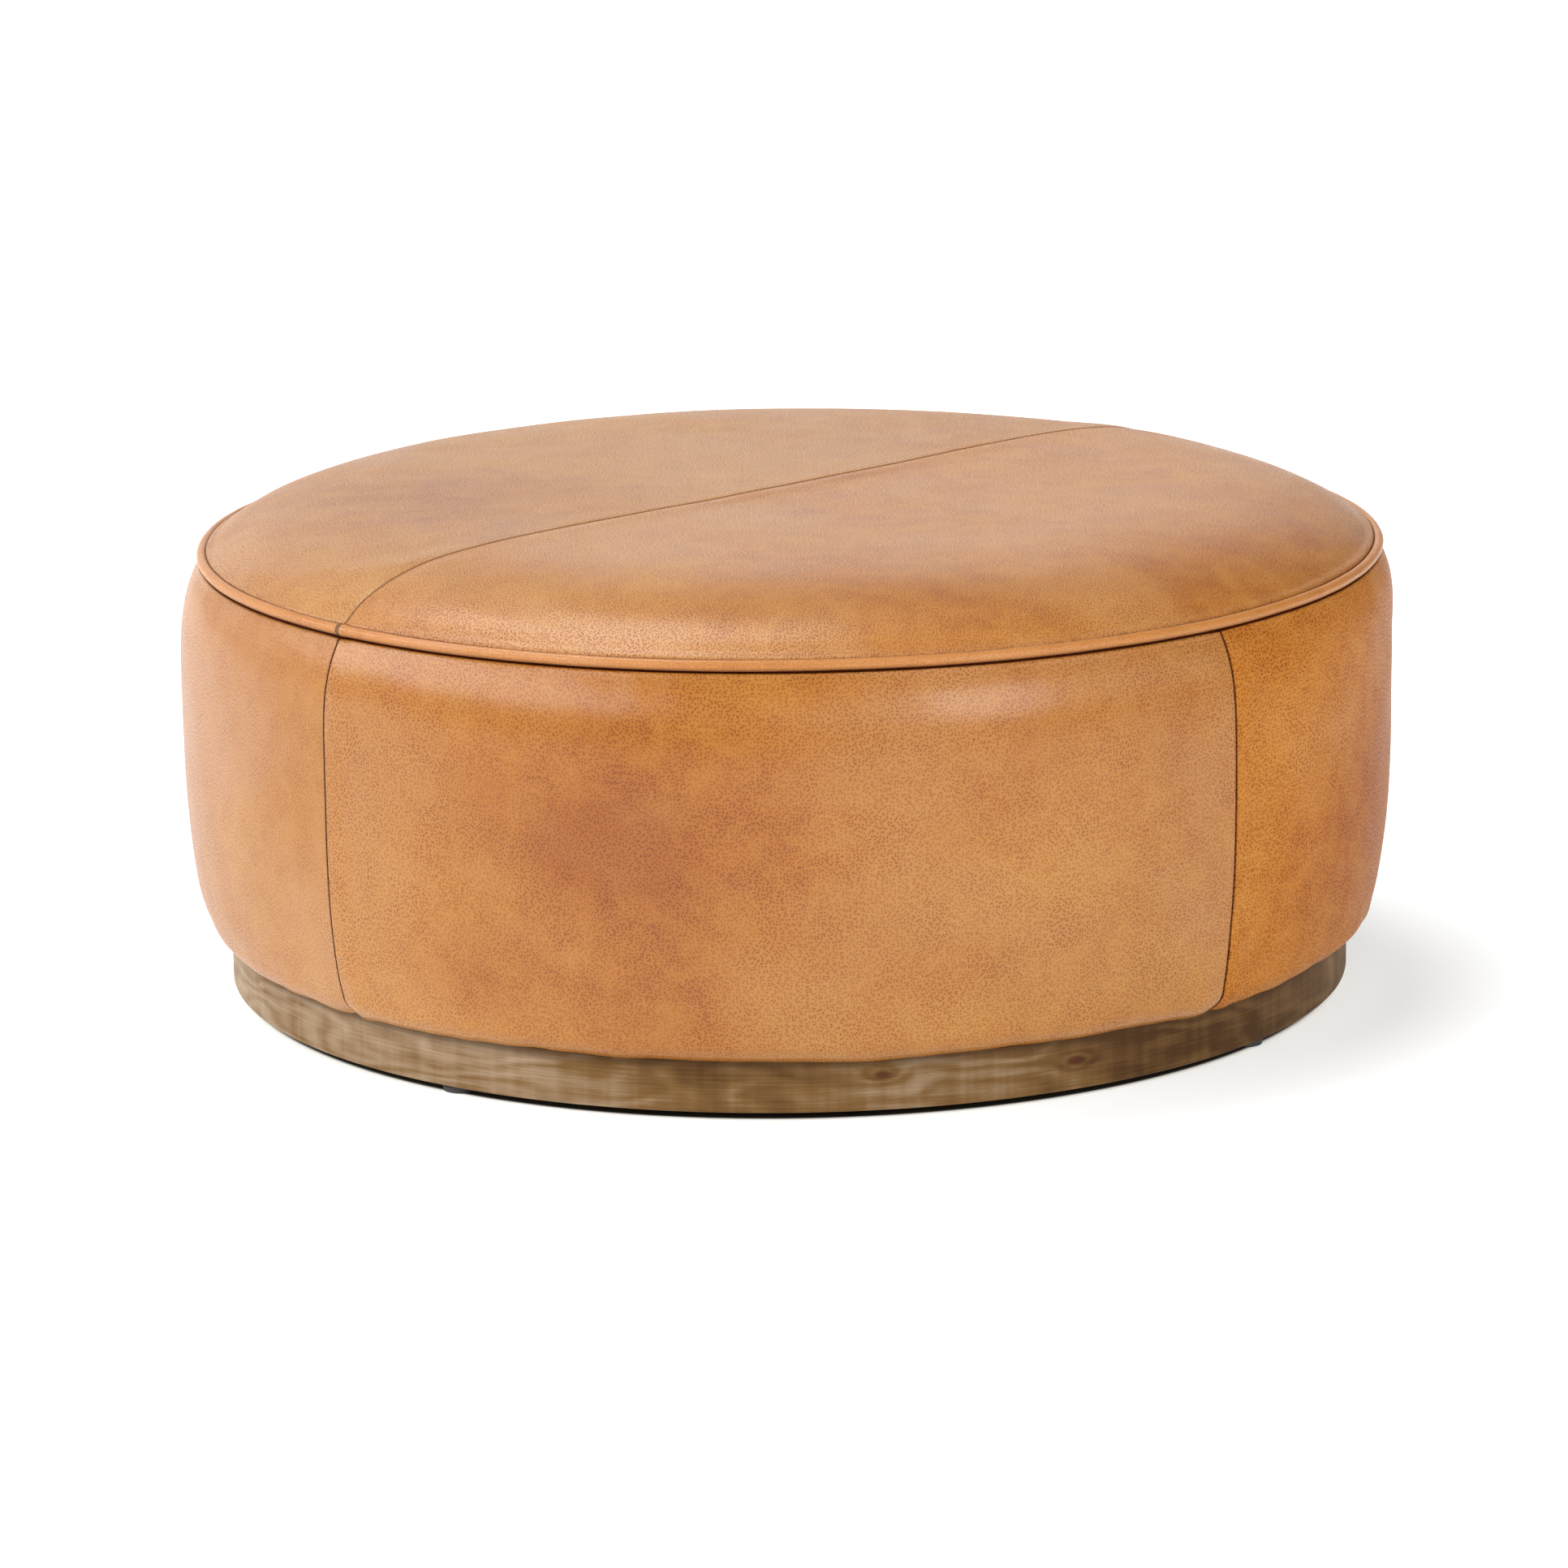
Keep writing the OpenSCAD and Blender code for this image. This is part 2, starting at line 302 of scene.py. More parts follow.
SWELL_ROWS = 44
SWELL_COLUMNS = 176
SWELL_FRAMES = 20
SWELL_PRESSURE = 4
SWELL_CAP = 6 * MM
START_IN = 4 * MM            # the skin starts this far inside its finished place
SEWN_W = 9 * MM              # the skin is held this close to a seam
RELIEF = 0.30                # share of the simulated motion that shows between the seams
MIDDLE_R = 90 * MM           # inside this radius the crown's seam takes up much of a row
SHOULDER_CALM = 90 * MM      # it grows from nothing at the piping over this length of the wall


def turn_from(azimuth, seam):
    """Angle from a seam, in radians between -pi and pi, for azimuths in radians."""
    return (azimuth - rad(seam) + math.pi) % (2 * math.pi) - math.pi


def seam_distance(azimuth, radius, seams):
    """Distance to the nearest seam, for azimuths in radians and seams in degrees."""
    nearest = np.full(np.broadcast(azimuth, radius).shape, 9.0)
    for seam in seams:
        turn = turn_from(azimuth, seam)
        away = np.where(np.abs(turn) < math.pi / 2, np.abs(np.sin(turn)), 1) * radius
        nearest = np.minimum(nearest, away)
    return nearest


def simulated_swell(line, seams):
    """How far each point of a round skin swells outwards under the padding's pressure, as rows down
    the outline and columns round it. The skin is sewn down at both ends and along its seams."""
    at = np.linspace(0, lengths(line)[-1], SWELL_ROWS)
    row = resampled(line, at)
    normal = outward(row)
    row = row - START_IN * normal
    azimuth = np.linspace(0, 2 * math.pi, SWELL_COLUMNS, endpoint=False) + rad(FIRST_SEAM)
    points = around(row[:, :1], azimuth[None, :], row[:, 1:])
    mesh = bpy.data.meshes.new("skin")
    faces = grid_faces(SWELL_ROWS, SWELL_COLUMNS, closed=True)
    mesh.from_pydata(points.reshape(-1, 3).tolist(), [], faces)
    skin = add_object("skin", mesh)
    held = seam_distance(azimuth[None, :], row[:, :1], seams) < SEWN_W
    held[[0, -1], :] = True
    pins = skin.vertex_groups.new(name="sewn")
    pins.add(np.flatnonzero(held.ravel()).tolist(), 1.0, "REPLACE")
    cloth = skin.modifiers.new("skin", "CLOTH")
    cloth.settings.vertex_group_mass = "sewn"
    cloth.settings.use_pressure = True
    cloth.settings.uniform_pressure_force = SWELL_PRESSURE
    cloth.settings.tension_stiffness = 40
    cloth.settings.compression_stiffness = 40
    cloth.settings.bending_stiffness = 6
    cloth.settings.effector_weights.gravity = 0
    cloth.point_cache.frame_end = SWELL_FRAMES
    scene = bpy.context.scene
    for step in range(1, SWELL_FRAMES + 1):
        scene.frame_set(step)
    shown = skin.evaluated_get(bpy.context.evaluated_depsgraph_get())
    after = np.array([v.co for v in shown.data.vertices]).reshape(points.shape)
    direction = around(normal[:, :1], azimuth[None, :], normal[:, 1:])
    motion = ((after - points) * direction).sum(-1)
    bpy.data.objects.remove(skin)
    bpy.data.meshes.remove(mesh)
    scene.frame_set(1)
    return SWELL_CAP * np.tanh(motion / SWELL_CAP)


def swell_relief(line, seams):
    """The simulated skin's rise and fall about its usual height in each row. Rows near the crown's
    middle share the next row's usual height."""
    motion = simulated_swell(line, seams)
    usual = np.percentile(motion, 70, axis=1, keepdims=True)
    middle = resampled(line, np.linspace(0, lengths(line)[-1], SWELL_ROWS))[:, 0] < MIDDLE_R
    if middle.any():
        usual[middle] = usual[~middle][0]
    return RELIEF * (motion - usual)


def relief_at(relief, line, at, azimuth):
    """A relief looked up at distances down the outline (rows) and azimuths in radians."""
    rows, columns = relief.shape
    y = np.clip(at / lengths(line)[-1], 0, 1) * (rows - 1)
    x = ((azimuth - rad(FIRST_SEAM)) / (2 * math.pi) % 1) * columns
    y0 = np.minimum(y.astype(int), rows - 2)
    x0 = x.astype(int) % columns
    x1 = (x0 + 1) % columns
    fy, fx = y - y0, x - np.floor(x)
    upper = relief[y0, x0] * (1 - fx) + relief[y0, x1] * fx
    lower = relief[y0 + 1, x0] * (1 - fx) + relief[y0 + 1, x1] * fx
    return upper * (1 - fy) + lower * fy


def wander(points, size, seed):
    """Smooth noise of about -1 to 1 at each point, with features of a given size."""
    flat = points.reshape(-1, 3) / size
    offset = Vector((seed * 13.7, seed * 5.1, seed * 8.3))
    values = [noise.noise(Vector(p) + offset) for p in flat]
    return np.array(values).reshape(points.shape[:-1]) * 1.6


# ---- leather panels

WALL_SEAMS = [FIRST_SEAM + 90 * i for i in range(4)]
TOP_SEAMS = [FIRST_SEAM, FIRST_SEAM + 180]


def fold_profile(fold_r=FOLD_R):
    """Distance from a seam's middle and depth under the surface, over a panel's folded edge."""
    angle = np.radians(np.linspace(0, 90, 6))
    across = SEAM_GAP + fold_r * (1 - np.cos(angle))
    depth = fold_r * (1 - np.sin(angle))
    spread = np.array([2.2, 3.4, 5.0, 7.5, 10.5, 13.5]) * MM
    across = np.concatenate([[SEAM_GAP, SEAM_GAP], across, spread])
    depth = np.concatenate([[FOLD_DEPTH, (FOLD_DEPTH + fold_r) / 2], depth, 0 * spread])
    return across, depth


def panel_columns(radius, span):
    """Angles and fold depths of a panel's columns at one radius, closest at its two sewn edges."""
    across, depth = fold_profile()
    shrink = min(1.0, 0.6 * span / 2 * radius / across[-1])
    near = np.arcsin(np.minimum(across * shrink / radius, 1))
    middle = np.linspace(near[-1], span - near[-1], PANEL_COLUMNS)[1:-1]
    angles = np.concatenate([near, middle, span - near[::-1]])
    depths = np.concatenate([depth, 0 * middle, depth[::-1]]) * shrink
    return angles, depths


def sewn_relief(azimuth, radius, seams, edge_fade):
    """The channel along each seam, and the low step where the turned-in edges lie after it. The two
    halves of the top's straight seam count as one line, with a lower step on its far side."""
    channel = -VALLEY * np.exp(-((seam_distance(azimuth, radius, seams) / VALLEY_W) ** 2))
    step = np.zeros_like(channel)
    straight = len(seams) == 2
    for seam in seams[:1] if straight else seams:
        turn = turn_from(azimuth, seam)
        beside = (np.abs(turn) < math.pi / 2) | straight
        beyond = np.where(beside, np.sin(turn), 1) * radius * (-1 if straight else 1)
        step += (smooth(beyond, 0.2 * MM, 2 * MM)
                 * (1 - smooth(beyond, ALLOWANCE_W, ALLOWANCE_W + 3 * MM)))
    return channel + (0.6 if straight else 1) * ALLOWANCE_T * step * edge_fade


def wall_dents(points, azimuth):
    """Slow waves of the padding, puckers where the leather is pulled under, and the seams' end tucks."""
    z = points[..., 2]
    low = 1 - smooth(z, HEM_Z + 6 * MM, HEM_Z + 45 * MM)
    high = smooth(z, SEAM_Z - 40 * MM, SEAM_Z - 6 * MM)
    tall = points * np.array([1, 1, 0.25])
    dents = 0.8 * MM * wander(points, 0.16, 1) + 0.25 * MM * wander(points, 0.055, 2)
    dents += 0.55 * MM * low * wander(tall, 0.022, 3) + 0.9 * MM * low * wander(tall, 0.07, 4)
    dents += 0.30 * MM * high * wander(tall, 0.020, 5)
    for seam in WALL_SEAMS:
        beside = np.exp(-((turn_from(azimuth, seam) * WALL_R / (9 * MM)) ** 2))
        dents -= 2.6 * MM * beside * (1 - smooth(z, HEM_Z + 4 * MM, HEM_Z + 22 * MM))
    return dents


def crown_dents(points, azimuth):
    """Slow waves of the padding, and puckers towards the rim."""
    radius = np.hypot(points[..., 0], points[..., 1])
    rim = smooth(radius, CROWN_R - 40 * MM, CROWN_R - 8 * MM)
    return (0.7 * MM * wander(points, 0.20, 6) * (1 - 0.6 * rim) + 0.2 * MM * wander(points, 0.06, 7)
            + 0.22 * MM * rim * wander(points, 0.022, 8))


class Skin:
    """A padded, sewn surface of revolution: an outline shaped by seams, simulated swell and dents."""

    def __init__(self, line, seams, dents, fade_in, fade_out, burnt_seam, edge_shade):
        self.line, self.seams, self.dents = line, seams, dents
        self.burnt_seam, self.edge_shade = burnt_seam, edge_shade
        self.along = lengths(line)
        self.total = self.along[-1]
        self.fade_in, self.fade_out = fade_in, fade_out
        self.relief = swell_relief(line, seams)

    def radius(self, at):
        return np.interp(at, self.along, self.line[:, 0])

    def surface(self, at, angles):
        """Points and outward normals at distances down the outline and azimuths round it."""
        at, angles = np.broadcast_arrays(at, angles)
        place = resampled(self.line, at)
        facing = outward(self.line)
        normal = np.stack([np.interp(at, self.along, facing[:, k]) for k in (0, 1)], -1)
        normal /= np.linalg.norm(normal, axis=-1, keepdims=True)
        base = around(place[..., 0], angles, place[..., 1])
        direction = around(normal[..., 0], angles, normal[..., 1])
        fade = 1 - smooth(at, self.total - self.fade_out[0], self.total - self.fade_out[1])
        swell = relief_at(self.relief, self.line, at, angles)
        if self.fade_in:
            fade = fade * smooth(at, *self.fade_in)
            swell = swell * smooth(at, 0, SHOULDER_CALM)
        rise = swell + self.dents(base, angles)
        rise = fade * rise + sewn_relief(angles, place[..., 0], self.seams, fade)
        return pulled(base + direction * rise[..., None]), direction


def pull_at(azimuth):
    """How far the rim stands out of round at an azimuth in radians."""
    turn = turn_from(azimuth, PULL_AZIMUTH)
    return PULL * np.exp(-((turn / rad(PULL_SPREAD)) ** 2))


def pulled(points):
    """Moves the rim outwards where it stands out of round, and the roll inwards at its two sides."""
    radius = np.hypot(points[..., 0], points[..., 1])
    azimuth = np.arctan2(points[..., 0], -points[..., 1])
    lift = smooth(points[..., 2], BELLY_Z + 40 * MM, SEAM_Z)
    out = pull_at(azimuth) * lift * (radius / PIPE_RING_R) ** 2
    for centre, height, deep in ROLL_DENTS:
        across = turn_from(azimuth, centre) / rad(DENT_SPREAD)
        up = (points[..., 2] - HEM_Z - height) / DENT_H
        out = out - deep * np.exp(-(across ** 2 + up ** 2))
    share = out / np.maximum(radius, 1 * MM)
    return points * np.stack([1 + share, 1 + share, np.ones_like(share)], -1)


def wall_groove_shade(at, height):
    """Painted shade in the groove under the piping, by the distance down the outline."""
    return 1 - smooth(at, 6.4 * MM, 9.2 * MM)


def crown_groove_shade(at, height):
    """Painted shade in the groove behind the piping, by height, from a little under its top."""
    return 1 - smooth(height, PIPE_Z + 3.4 * MM, PIPE_Z + 4.4 * MM)


# The last two settings of each skin are painted shade: along its seams, and in the groove by the piping.
WALL = Skin(wall_outline(), WALL_SEAMS, wall_dents, (9 * MM, 16 * MM), (6 * MM, 0),
            (0.3 * MM, 1.7 * MM, 1.0), wall_groove_shade)
CROWN = Skin(crown_outline(), TOP_SEAMS, crown_dents, None, (14 * MM, 4 * MM),
             (0.8 * MM, 1.8 * MM, 0.45), crown_groove_shade)


def wall_grid(rows, start, span):
    """Distances, azimuths and fold depths over one wall panel."""
    folds = [panel_columns(r, rad(span)) for r in WALL.radius(rows)]
    angles = np.array([f[0] for f in folds]) + rad(start)
    depth = np.array([f[1] for f in folds])
    return np.broadcast_to(rows[:, None], angles.shape), angles, depth


def crown_grid(rows, start):
    """Distances, azimuths and fold depths over half of the crown. Its rows are rings near the rim and
    flatten towards the middle of the straight seam, where the two ends of each row meet."""
    across, fold = fold_profile(TOP_FOLD_R)
    reach = CROWN.radius(rows)[:, None]
    edge_u = reach ** 2 / np.maximum(np.hypot(reach, across), 1e-9)
    turn = np.linspace(0, 1, PANEL_COLUMNS)[1:-1]
    near = np.arctan2(across[-1], np.maximum(edge_u[:, -1:], 1e-9))
    polar = near + (math.pi - 2 * near) * turn
    oval_u = edge_u[:, -1:] * np.cos(math.pi * turn)
    oval_v = across[-1] + reach ** 2 / (reach + across[-1]) * np.sin(math.pi * turn)
    round_share = smooth(reach, OVAL_R, RING_R)
    middle_u = oval_u + (reach * np.cos(polar) - oval_u) * round_share
    middle_v = oval_v + (reach * np.sin(polar) - oval_v) * round_share
    edge_v = np.broadcast_to(across, edge_u.shape)
    u = np.concatenate([edge_u, middle_u, -edge_u[:, ::-1]], 1)
    v = np.concatenate([edge_v, middle_v, edge_v[:, ::-1]], 1)
    inner = np.interp(np.hypot(u, v), CROWN.line[:CROWN_POINTS, 0], CROWN.along[:CROWN_POINTS])
    at = np.where(reach < RING_R + 30 * MM, inner, rows[:, None])
    depth = np.concatenate([fold, 0 * turn, fold[::-1]])
    return at, np.arctan2(v, u) + rad(start), np.broadcast_to(depth, u.shape)


def panel(name, skin, grid, grain, paint, slit=None):
    """One sewn leather panel: a closed shell with folded edges over a grid of its skin."""
    at, angles, depth = grid
    surface, direction = skin.surface(at, angles)
    outer = surface - direction * depth[..., None]
    thickness = LEATHER_T + (SKIVED_T - LEATHER_T) * smooth(depth, 0, FOLD_R)
    inner = outer - direction * thickness[..., None]
    into_panel = np.stack([np.cos(angles), np.sin(angles), 0 * angles], -1)
    side = np.where(np.arange(angles.shape[1]) < angles.shape[1] / 2, 1, -1)[None, :, None]
    inner = np.where(depth[..., None] > FOLD_R, outer + into_panel * side * SKIVED_T, inner)
    piece = new_piece(name, two_sides(outer, inner), shell_faces(*angles.shape, slit))
    set_hide_uv(piece, np.concatenate([grain.reshape(-1, 2)] * 2))
    # Patina and painted light, then painted shade along the seams and in the groove by the piping, as
    # vertex layers.
    paint_layer(piece, "patina", paint(surface))
    away = seam_distance(angles, skin.radius(at), skin.seams)
    solid, gone, share = skin.burnt_seam
    burnish = np.maximum(share * (1 - smooth(away, solid, gone)), skin.edge_shade(at, surface[..., 2]))
    paint_layer(piece, "burnish", burnish)
    weld(piece)
    return piece


# ---- patina and painted light: where the hide is darker or paler, in shares of its colour range

# Partly the hide's own patina, partly painted light: paler towards the lit left, darker in the front's
# middle and towards the shaded right.
WALL_PATINA_AND_LIGHT = (                 # azimuth, height, half width in degrees, half height, amount
    (-13, 0.225, 8, 0.060, -0.42), (-21, 0.250, 10, 0.045, -0.22), (-3, 0.290, 7, 0.030, -0.12),
    (-45, 0.110, 9, 0.060, 0.45), (-34, 0.070, 14, 0.030, 0.35), (-38, 0.190, 7, 0.050, 0.18),
    (25, 0.200, 8, 0.060, 0.40), (18, 0.085, 14, 0.035, 0.45), (36, 0.090, 9, 0.050, 0.30),
    (14, 0.170, 9, 0.050, 0.15), (50, 0.270, 7, 0.040, 0.15), (62, 0.150, 8, 0.070, -0.30),
    (76, 0.200, 12, 0.110, -0.45), (-62, 0.180, 16, 0.100, 0.25), (150, 0.220, 20, 0.060, -0.25),
    (200, 0.140, 16, 0.070, 0.25), (112, 0.120, 14, 0.050, 0.20), (-105, 0.240, 15, 0.060, -0.20),
)
# Partly patina, partly painted light: paler at the rim's front left, where the light falls, darker
# towards the front right.
CROWN_PATINA_AND_LIGHT = (                # azimuth, radius, half size, amount
    (20, 0.420, 0.075, -0.15), (42, 0.430, 0.080, -0.15), (62, 0.430, 0.080, -0.16),
    (80, 0.400, 0.080, -0.15), (35, 0.300, 0.080, -0.10), (-75, 0.300, 0.060, -0.25),
    (-20, 0.380, 0.060, 0.10), (-50, 0.440, 0.050, 0.25), (170, 0.250, 0.100, -0.15),
    (-150, 0.350, 0.090, 0.15),
)


def wall_paint(points):
    azimuth = np.arctan2(points[..., 0], -points[..., 1])
    tone = 0 * azimuth
    for centre, height, wide, tall, amount in WALL_PATINA_AND_LIGHT:
        across = turn_from(azimuth, centre) / rad(wide)
        up = (points[..., 2] - height) / tall
        tone = tone + amount * np.exp(-(across ** 2 + up ** 2))
    return tone


def crown_paint(points):
    tone = 0 * points[..., 0]
    for centre, radius, size, amount in CROWN_PATINA_AND_LIGHT:
        x, y = radius * math.sin(rad(centre)), -radius * math.cos(rad(centre))
        away = (points[..., 0] - x) ** 2 + (points[..., 1] - y) ** 2
        tone = tone + amount * np.exp(-(away / size ** 2))
    return tone


def wall_rows():
    """Distances down the wall's outline, closer at the groove and round the roll."""
    roll_end = WALL.total - HEM_W
    roll_start = roll_end - ROLL_R * math.pi / 2
    return np.concatenate([np.linspace(0, 14 * MM, 26), np.linspace(14 * MM, roll_start, 64)[1:],
                           np.linspace(roll_start, roll_end, 20)[1:],
                           np.linspace(roll_end, WALL.total, 5)[1:]])


def crown_rows():
    bend = CROWN.total - 60 * MM
    turn = CROWN.total - 12 * MM
    return np.concatenate([np.linspace(0, bend, 72), np.linspace(bend, turn, 20)[1:],
                           np.linspace(turn, CROWN.total, 14)[1:]])


def make_cover():
    """The six leather panels, each in place of its CAD node."""
    pieces = []
    for i, side in enumerate(("front", "right", "back", "left")):
        at, angles, depth = wall_grid(wall_rows(), WALL_SEAMS[i], 90)
        grain = np.stack([angles * WALL_R + 3.1 * i, 1.7 * i - at], -1)
        piece = panel(f"side_leather_{side}", WALL, (at, angles, depth), grain, wall_paint)
        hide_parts(f"side_panel_{side}")
        pieces.append(piece)
    for i, side in enumerate(("front", "back")):
        at, angles, depth = crown_grid(crown_rows(), TOP_SEAMS[i])
        grain = around(CROWN.radius(at), angles, 0 * at)[..., :2] + np.array([20 + 2.3 * i, 0.9 * i])
        piece = panel(f"top_leather_{side}", CROWN, (at, angles, depth), grain, crown_paint, slit=2)
        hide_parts(f"top_panel_{side}")
        pieces.append(piece)
    return pieces


# ---- wadding under the leather

def wadding(name, node, skin, rows):
    """The fibre layer that follows the leather from inside, in place of its plain CAD solid."""
    columns = 240
    angles = np.linspace(0, 2 * math.pi, columns, endpoint=False) + rad(FIRST_SEAM)
    surface, direction = skin.surface(rows[:, None], angles)
    away = seam_distance(angles, skin.radius(rows)[:, None], skin.seams)
    under = LEATHER_T + 0.5 * MM + (FOLD_DEPTH + 0.6 * MM) * np.exp(-((away / (7 * MM)) ** 2))
    fluff = 0.25 * MM * wander(surface, 0.012, 9)
    outer = surface - direction * (under + fluff)[..., None]
    inner = surface - direction * (LEATHER_T + WADDING_T + 0.5 * MM)
    faces = round_shell_faces(len(rows), columns, hole=True)
    piece = new_piece(name, two_sides(outer, inner), faces)
    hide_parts(node)
    return piece


def make_wadding():
    wall = np.linspace(18 * MM, WALL.total - 40 * MM, 60)
    crown = np.linspace(2 * MM, CROWN.total - 16 * MM, 50)
    return [wadding("side_wadding", "side_batting", WALL, wall),
            wadding("top_wadding", "top_batting", CROWN, crown)]


# ---- piping

JOINT_AZIMUTH = FIRST_SEAM + 1.0    # where the two ends of the piping lap
LAP_TURN = 0.012                    # half of the lap's reach round the rim, in radians
LAP_RISE = 0.30 * MM
PIPE_WAVER = 0.45 * MM


def make_piping():
    """A tube of leather round the rim, a little uneven, with its lapped joint by the first seam."""
    sides = 28
    turn = np.concatenate([np.linspace(-LAP_TURN, LAP_TURN, 25),
                           np.linspace(LAP_TURN, 2 * math.pi - LAP_TURN, 900)[1:-1]])
    azimuth = turn + rad(JOINT_AZIMUTH)
    flat = around(np.full(azimuth.shape, PIPE_RING_R), azimuth, np.zeros(azimuth.shape))
    ring_r = PIPE_RING_R + pull_at(azimuth) + PIPE_WAVER * wander(flat, 0.11, 11)
    ring_z = PIPE_Z + 0.6 * PIPE_WAVER * wander(flat, 0.14, 12)
    before_joint = np.where(turn > math.pi, turn - 2 * math.pi, turn)
    lap = np.where(before_joint < 0, LAP_RISE, 0) * smooth(before_joint, -0.030, -0.010)
    girth = PIPE_R + 0.12 * MM * wander(flat, 0.03, 13) + lap
    around_tube = np.linspace(0, 2 * math.pi, sides, endpoint=False)
    r = ring_r[:, None] + girth[:, None] * np.cos(around_tube)
    z = ring_z[:, None] + girth[:, None] * np.sin(around_tube)
    points = around(r, azimuth[:, None], z)
    faces = grid_faces(len(azimuth), sides, closed=True, flip=True)
    last = (len(azimuth) - 1) * sides
    for s in range(sides):
        after = (s + 1) % sides
        faces.append([after, s, last + s, last + after])
    piece = new_piece("piping_leather_tube", points.reshape(-1, 3), faces)
    # Painted shade on the piping's underside and on its inner side, in the groove behind it.
    up = np.sin(around_tube) * PIPE_R
    inner = (np.cos(around_tube) < 0) * (1 - smooth(up, 3.0 * MM, 4.0 * MM))
    under = (0.30 * (1 - smooth(up, -2.6 * MM, -0.5 * MM))
             + 0.70 * (1 - smooth(up, -4.2 * MM, -2.8 * MM)))
    paint_layer(piece, "burnish", np.broadcast_to(np.maximum(inner, under), r.shape))
    along = np.broadcast_to(azimuth[:, None] * PIPE_RING_R, r.shape)
    girthwise = np.broadcast_to(np.abs(around_tube - math.pi) * PIPE_R, r.shape)
    set_hide_uv(piece, np.stack([along, girthwise], -1).reshape(-1, 2) + np.array([40.0, 0]))
    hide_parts("piping_cover")
    return piece


# ---- stitches

STITCH_PITCH = 3.5 * MM
STITCH_L = 2.3 * MM
THREAD_R = 0.32 * MM
STITCH_DEPTH = 0.75 * MM
STITCH_SLANT = 0.25          # a stitch leans across its seam by this share of its length
STITCH_DIP = 0.35 * MM       # how much deeper its ends lie than its middle


def along_path(values, along, at):
    """Values that are given along a path, looked up at one distance."""
    return np.array([np.interp(at, along, values[:, k]) for k in range(3)])


def stitch_row(name, path, normals):
    """Short thread stitches along a path, sunk in the seam: each is a small rounded rod."""
    rings, sides = 7, 8
    t = np.linspace(-1, 1, rings)
    width = THREAD_R * np.sqrt(np.maximum(1 - t ** 4, 0.02))
    verts, faces = [], []
    along = lengths(path)
    for middle in np.arange(STITCH_PITCH, along[-1] - STITCH_PITCH, STITCH_PITCH):
        centre = along_path(path, along, middle)
        ahead = along_path(path, along, middle + MM) - centre
        ahead /= np.linalg.norm(ahead)
        up = along_path(normals, along, middle)
        across = np.cross(ahead, up)
        ahead = ahead + STITCH_SLANT * across
        ahead /= np.linalg.norm(ahead)
        start = len(verts)
        for k in range(rings):
            sink = up * (-STITCH_DEPTH - STITCH_DIP * t[k] ** 2)
            for s in range(sides):
                angle = 2 * math.pi * s / sides
                verts.append(centre + sink + ahead * t[k] * STITCH_L / 2
                             + width[k] * (across * math.cos(angle) + up * math.sin(angle)))
        faces += rod_faces(rings, sides, start)
    piece = new_piece(name, verts, faces)
    return piece


def seam_path(skin, seam, first, last):
    at = np.arange(first, last, 2 * MM)
    return skin.surface(at, np.full(len(at), rad(seam)))


def make_stitches():
    """One row of thread along each wall seam, and one across the crown."""
    pieces = []
    for side, seam in zip(("left", "right", "back_right", "back_left"), WALL_SEAMS):
        path, normal = seam_path(WALL, seam, 11 * MM, WALL.total - 45 * MM)
        pieces.append(stitch_row(f"side_stitches_{side}", path, normal))
    halves = [seam_path(CROWN, seam, 1 * MM, CROWN.total - 6 * MM) for seam in TOP_SEAMS]
    path = np.concatenate([halves[0][0][::-1], halves[1][0]])
    normal = np.concatenate([halves[0][1][::-1], halves[1][1]])
    pieces.append(stitch_row("top_stitches", path, normal))
    return pieces


# ---- lathe-turned pieces: plinth veneer and foot pads

def turned(name, outline, segments, centre=(0, 0), body="root", wobble=None):
    """A closed ring or disc turned from an outline of (radius, height) points. Points on the axis
    close it; otherwise the outline is a closed loop."""
    outline = np.array(outline)
    on_axis = outline[0, 0] == 0 and outline[-1, 0] == 0
    profile = outline[1:-1] if on_axis else outline
    azimuth = np.linspace(0, 2 * math.pi, segments, endpoint=False)
    points = around(profile[None, :, 0], azimuth[:, None], profile[None, :, 1])
    if wobble:
        points = wobble(points)
    points = points + np.array([*centre, 0])
    verts = points.reshape(-1, 3).tolist()
    count = len(profile)
    faces = []
    for i in range(segments):
        here, after = i * count, (i + 1) % segments * count
        for k in range(count if not on_axis else count - 1):
            n = (k + 1) % count
            faces.append([here + k, here + n, after + n, after + k])
    if on_axis:
        for end in (0, -1):
            tip = len(verts)
            verts.append([centre[0], centre[1], outline[end, 1]])
            k = 0 if end == 0 else count - 1
            for i in range(segments):
                pair = [i * count + k, (i + 1) % segments * count + k]
                faces.append([tip] + (pair if end == 0 else pair[::-1]))
    piece = new_piece(name, verts, faces, body)
    recalculate(piece)
    return piece


def make_plinth():
    """The veneer ring: its lower edge eased, its top under the leather."""
    ease = 1.6 * MM
    pressed = 0.12 * MM          # the face lies in by this much on average, and by up to twice as much
    lower = arc(PLINTH_R - ease, PLINTH_LOW + ease, ease, -90, 0, 7)
    face = [[PLINTH_R, z] for z in np.linspace(PLINTH_LOW + ease, PLINTH_TOP - ease, 8)[1:-1]]
    upper = arc(PLINTH_R - ease / 2, PLINTH_TOP - ease / 2, ease / 2, 0, 90, 4)
    outline = np.concatenate([[[PLINTH_R - VENEER_T, PLINTH_LOW]], lower, face, upper,
                              [[PLINTH_R - VENEER_T, PLINTH_TOP]]])

    def weathered(points):
        radius = np.hypot(points[..., 0], points[..., 1])
        out = points * np.array([1, 1, 0]) / radius[..., None]
        front = radius > PLINTH_R - 1 * MM
        return points - out * (front * pressed * (1 + wander(points, 0.05, 21)))[..., None]

    piece = turned("plinth_oak_veneer", outline, 480, wobble=weathered)
    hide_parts("plinth_veneer")
    return piece


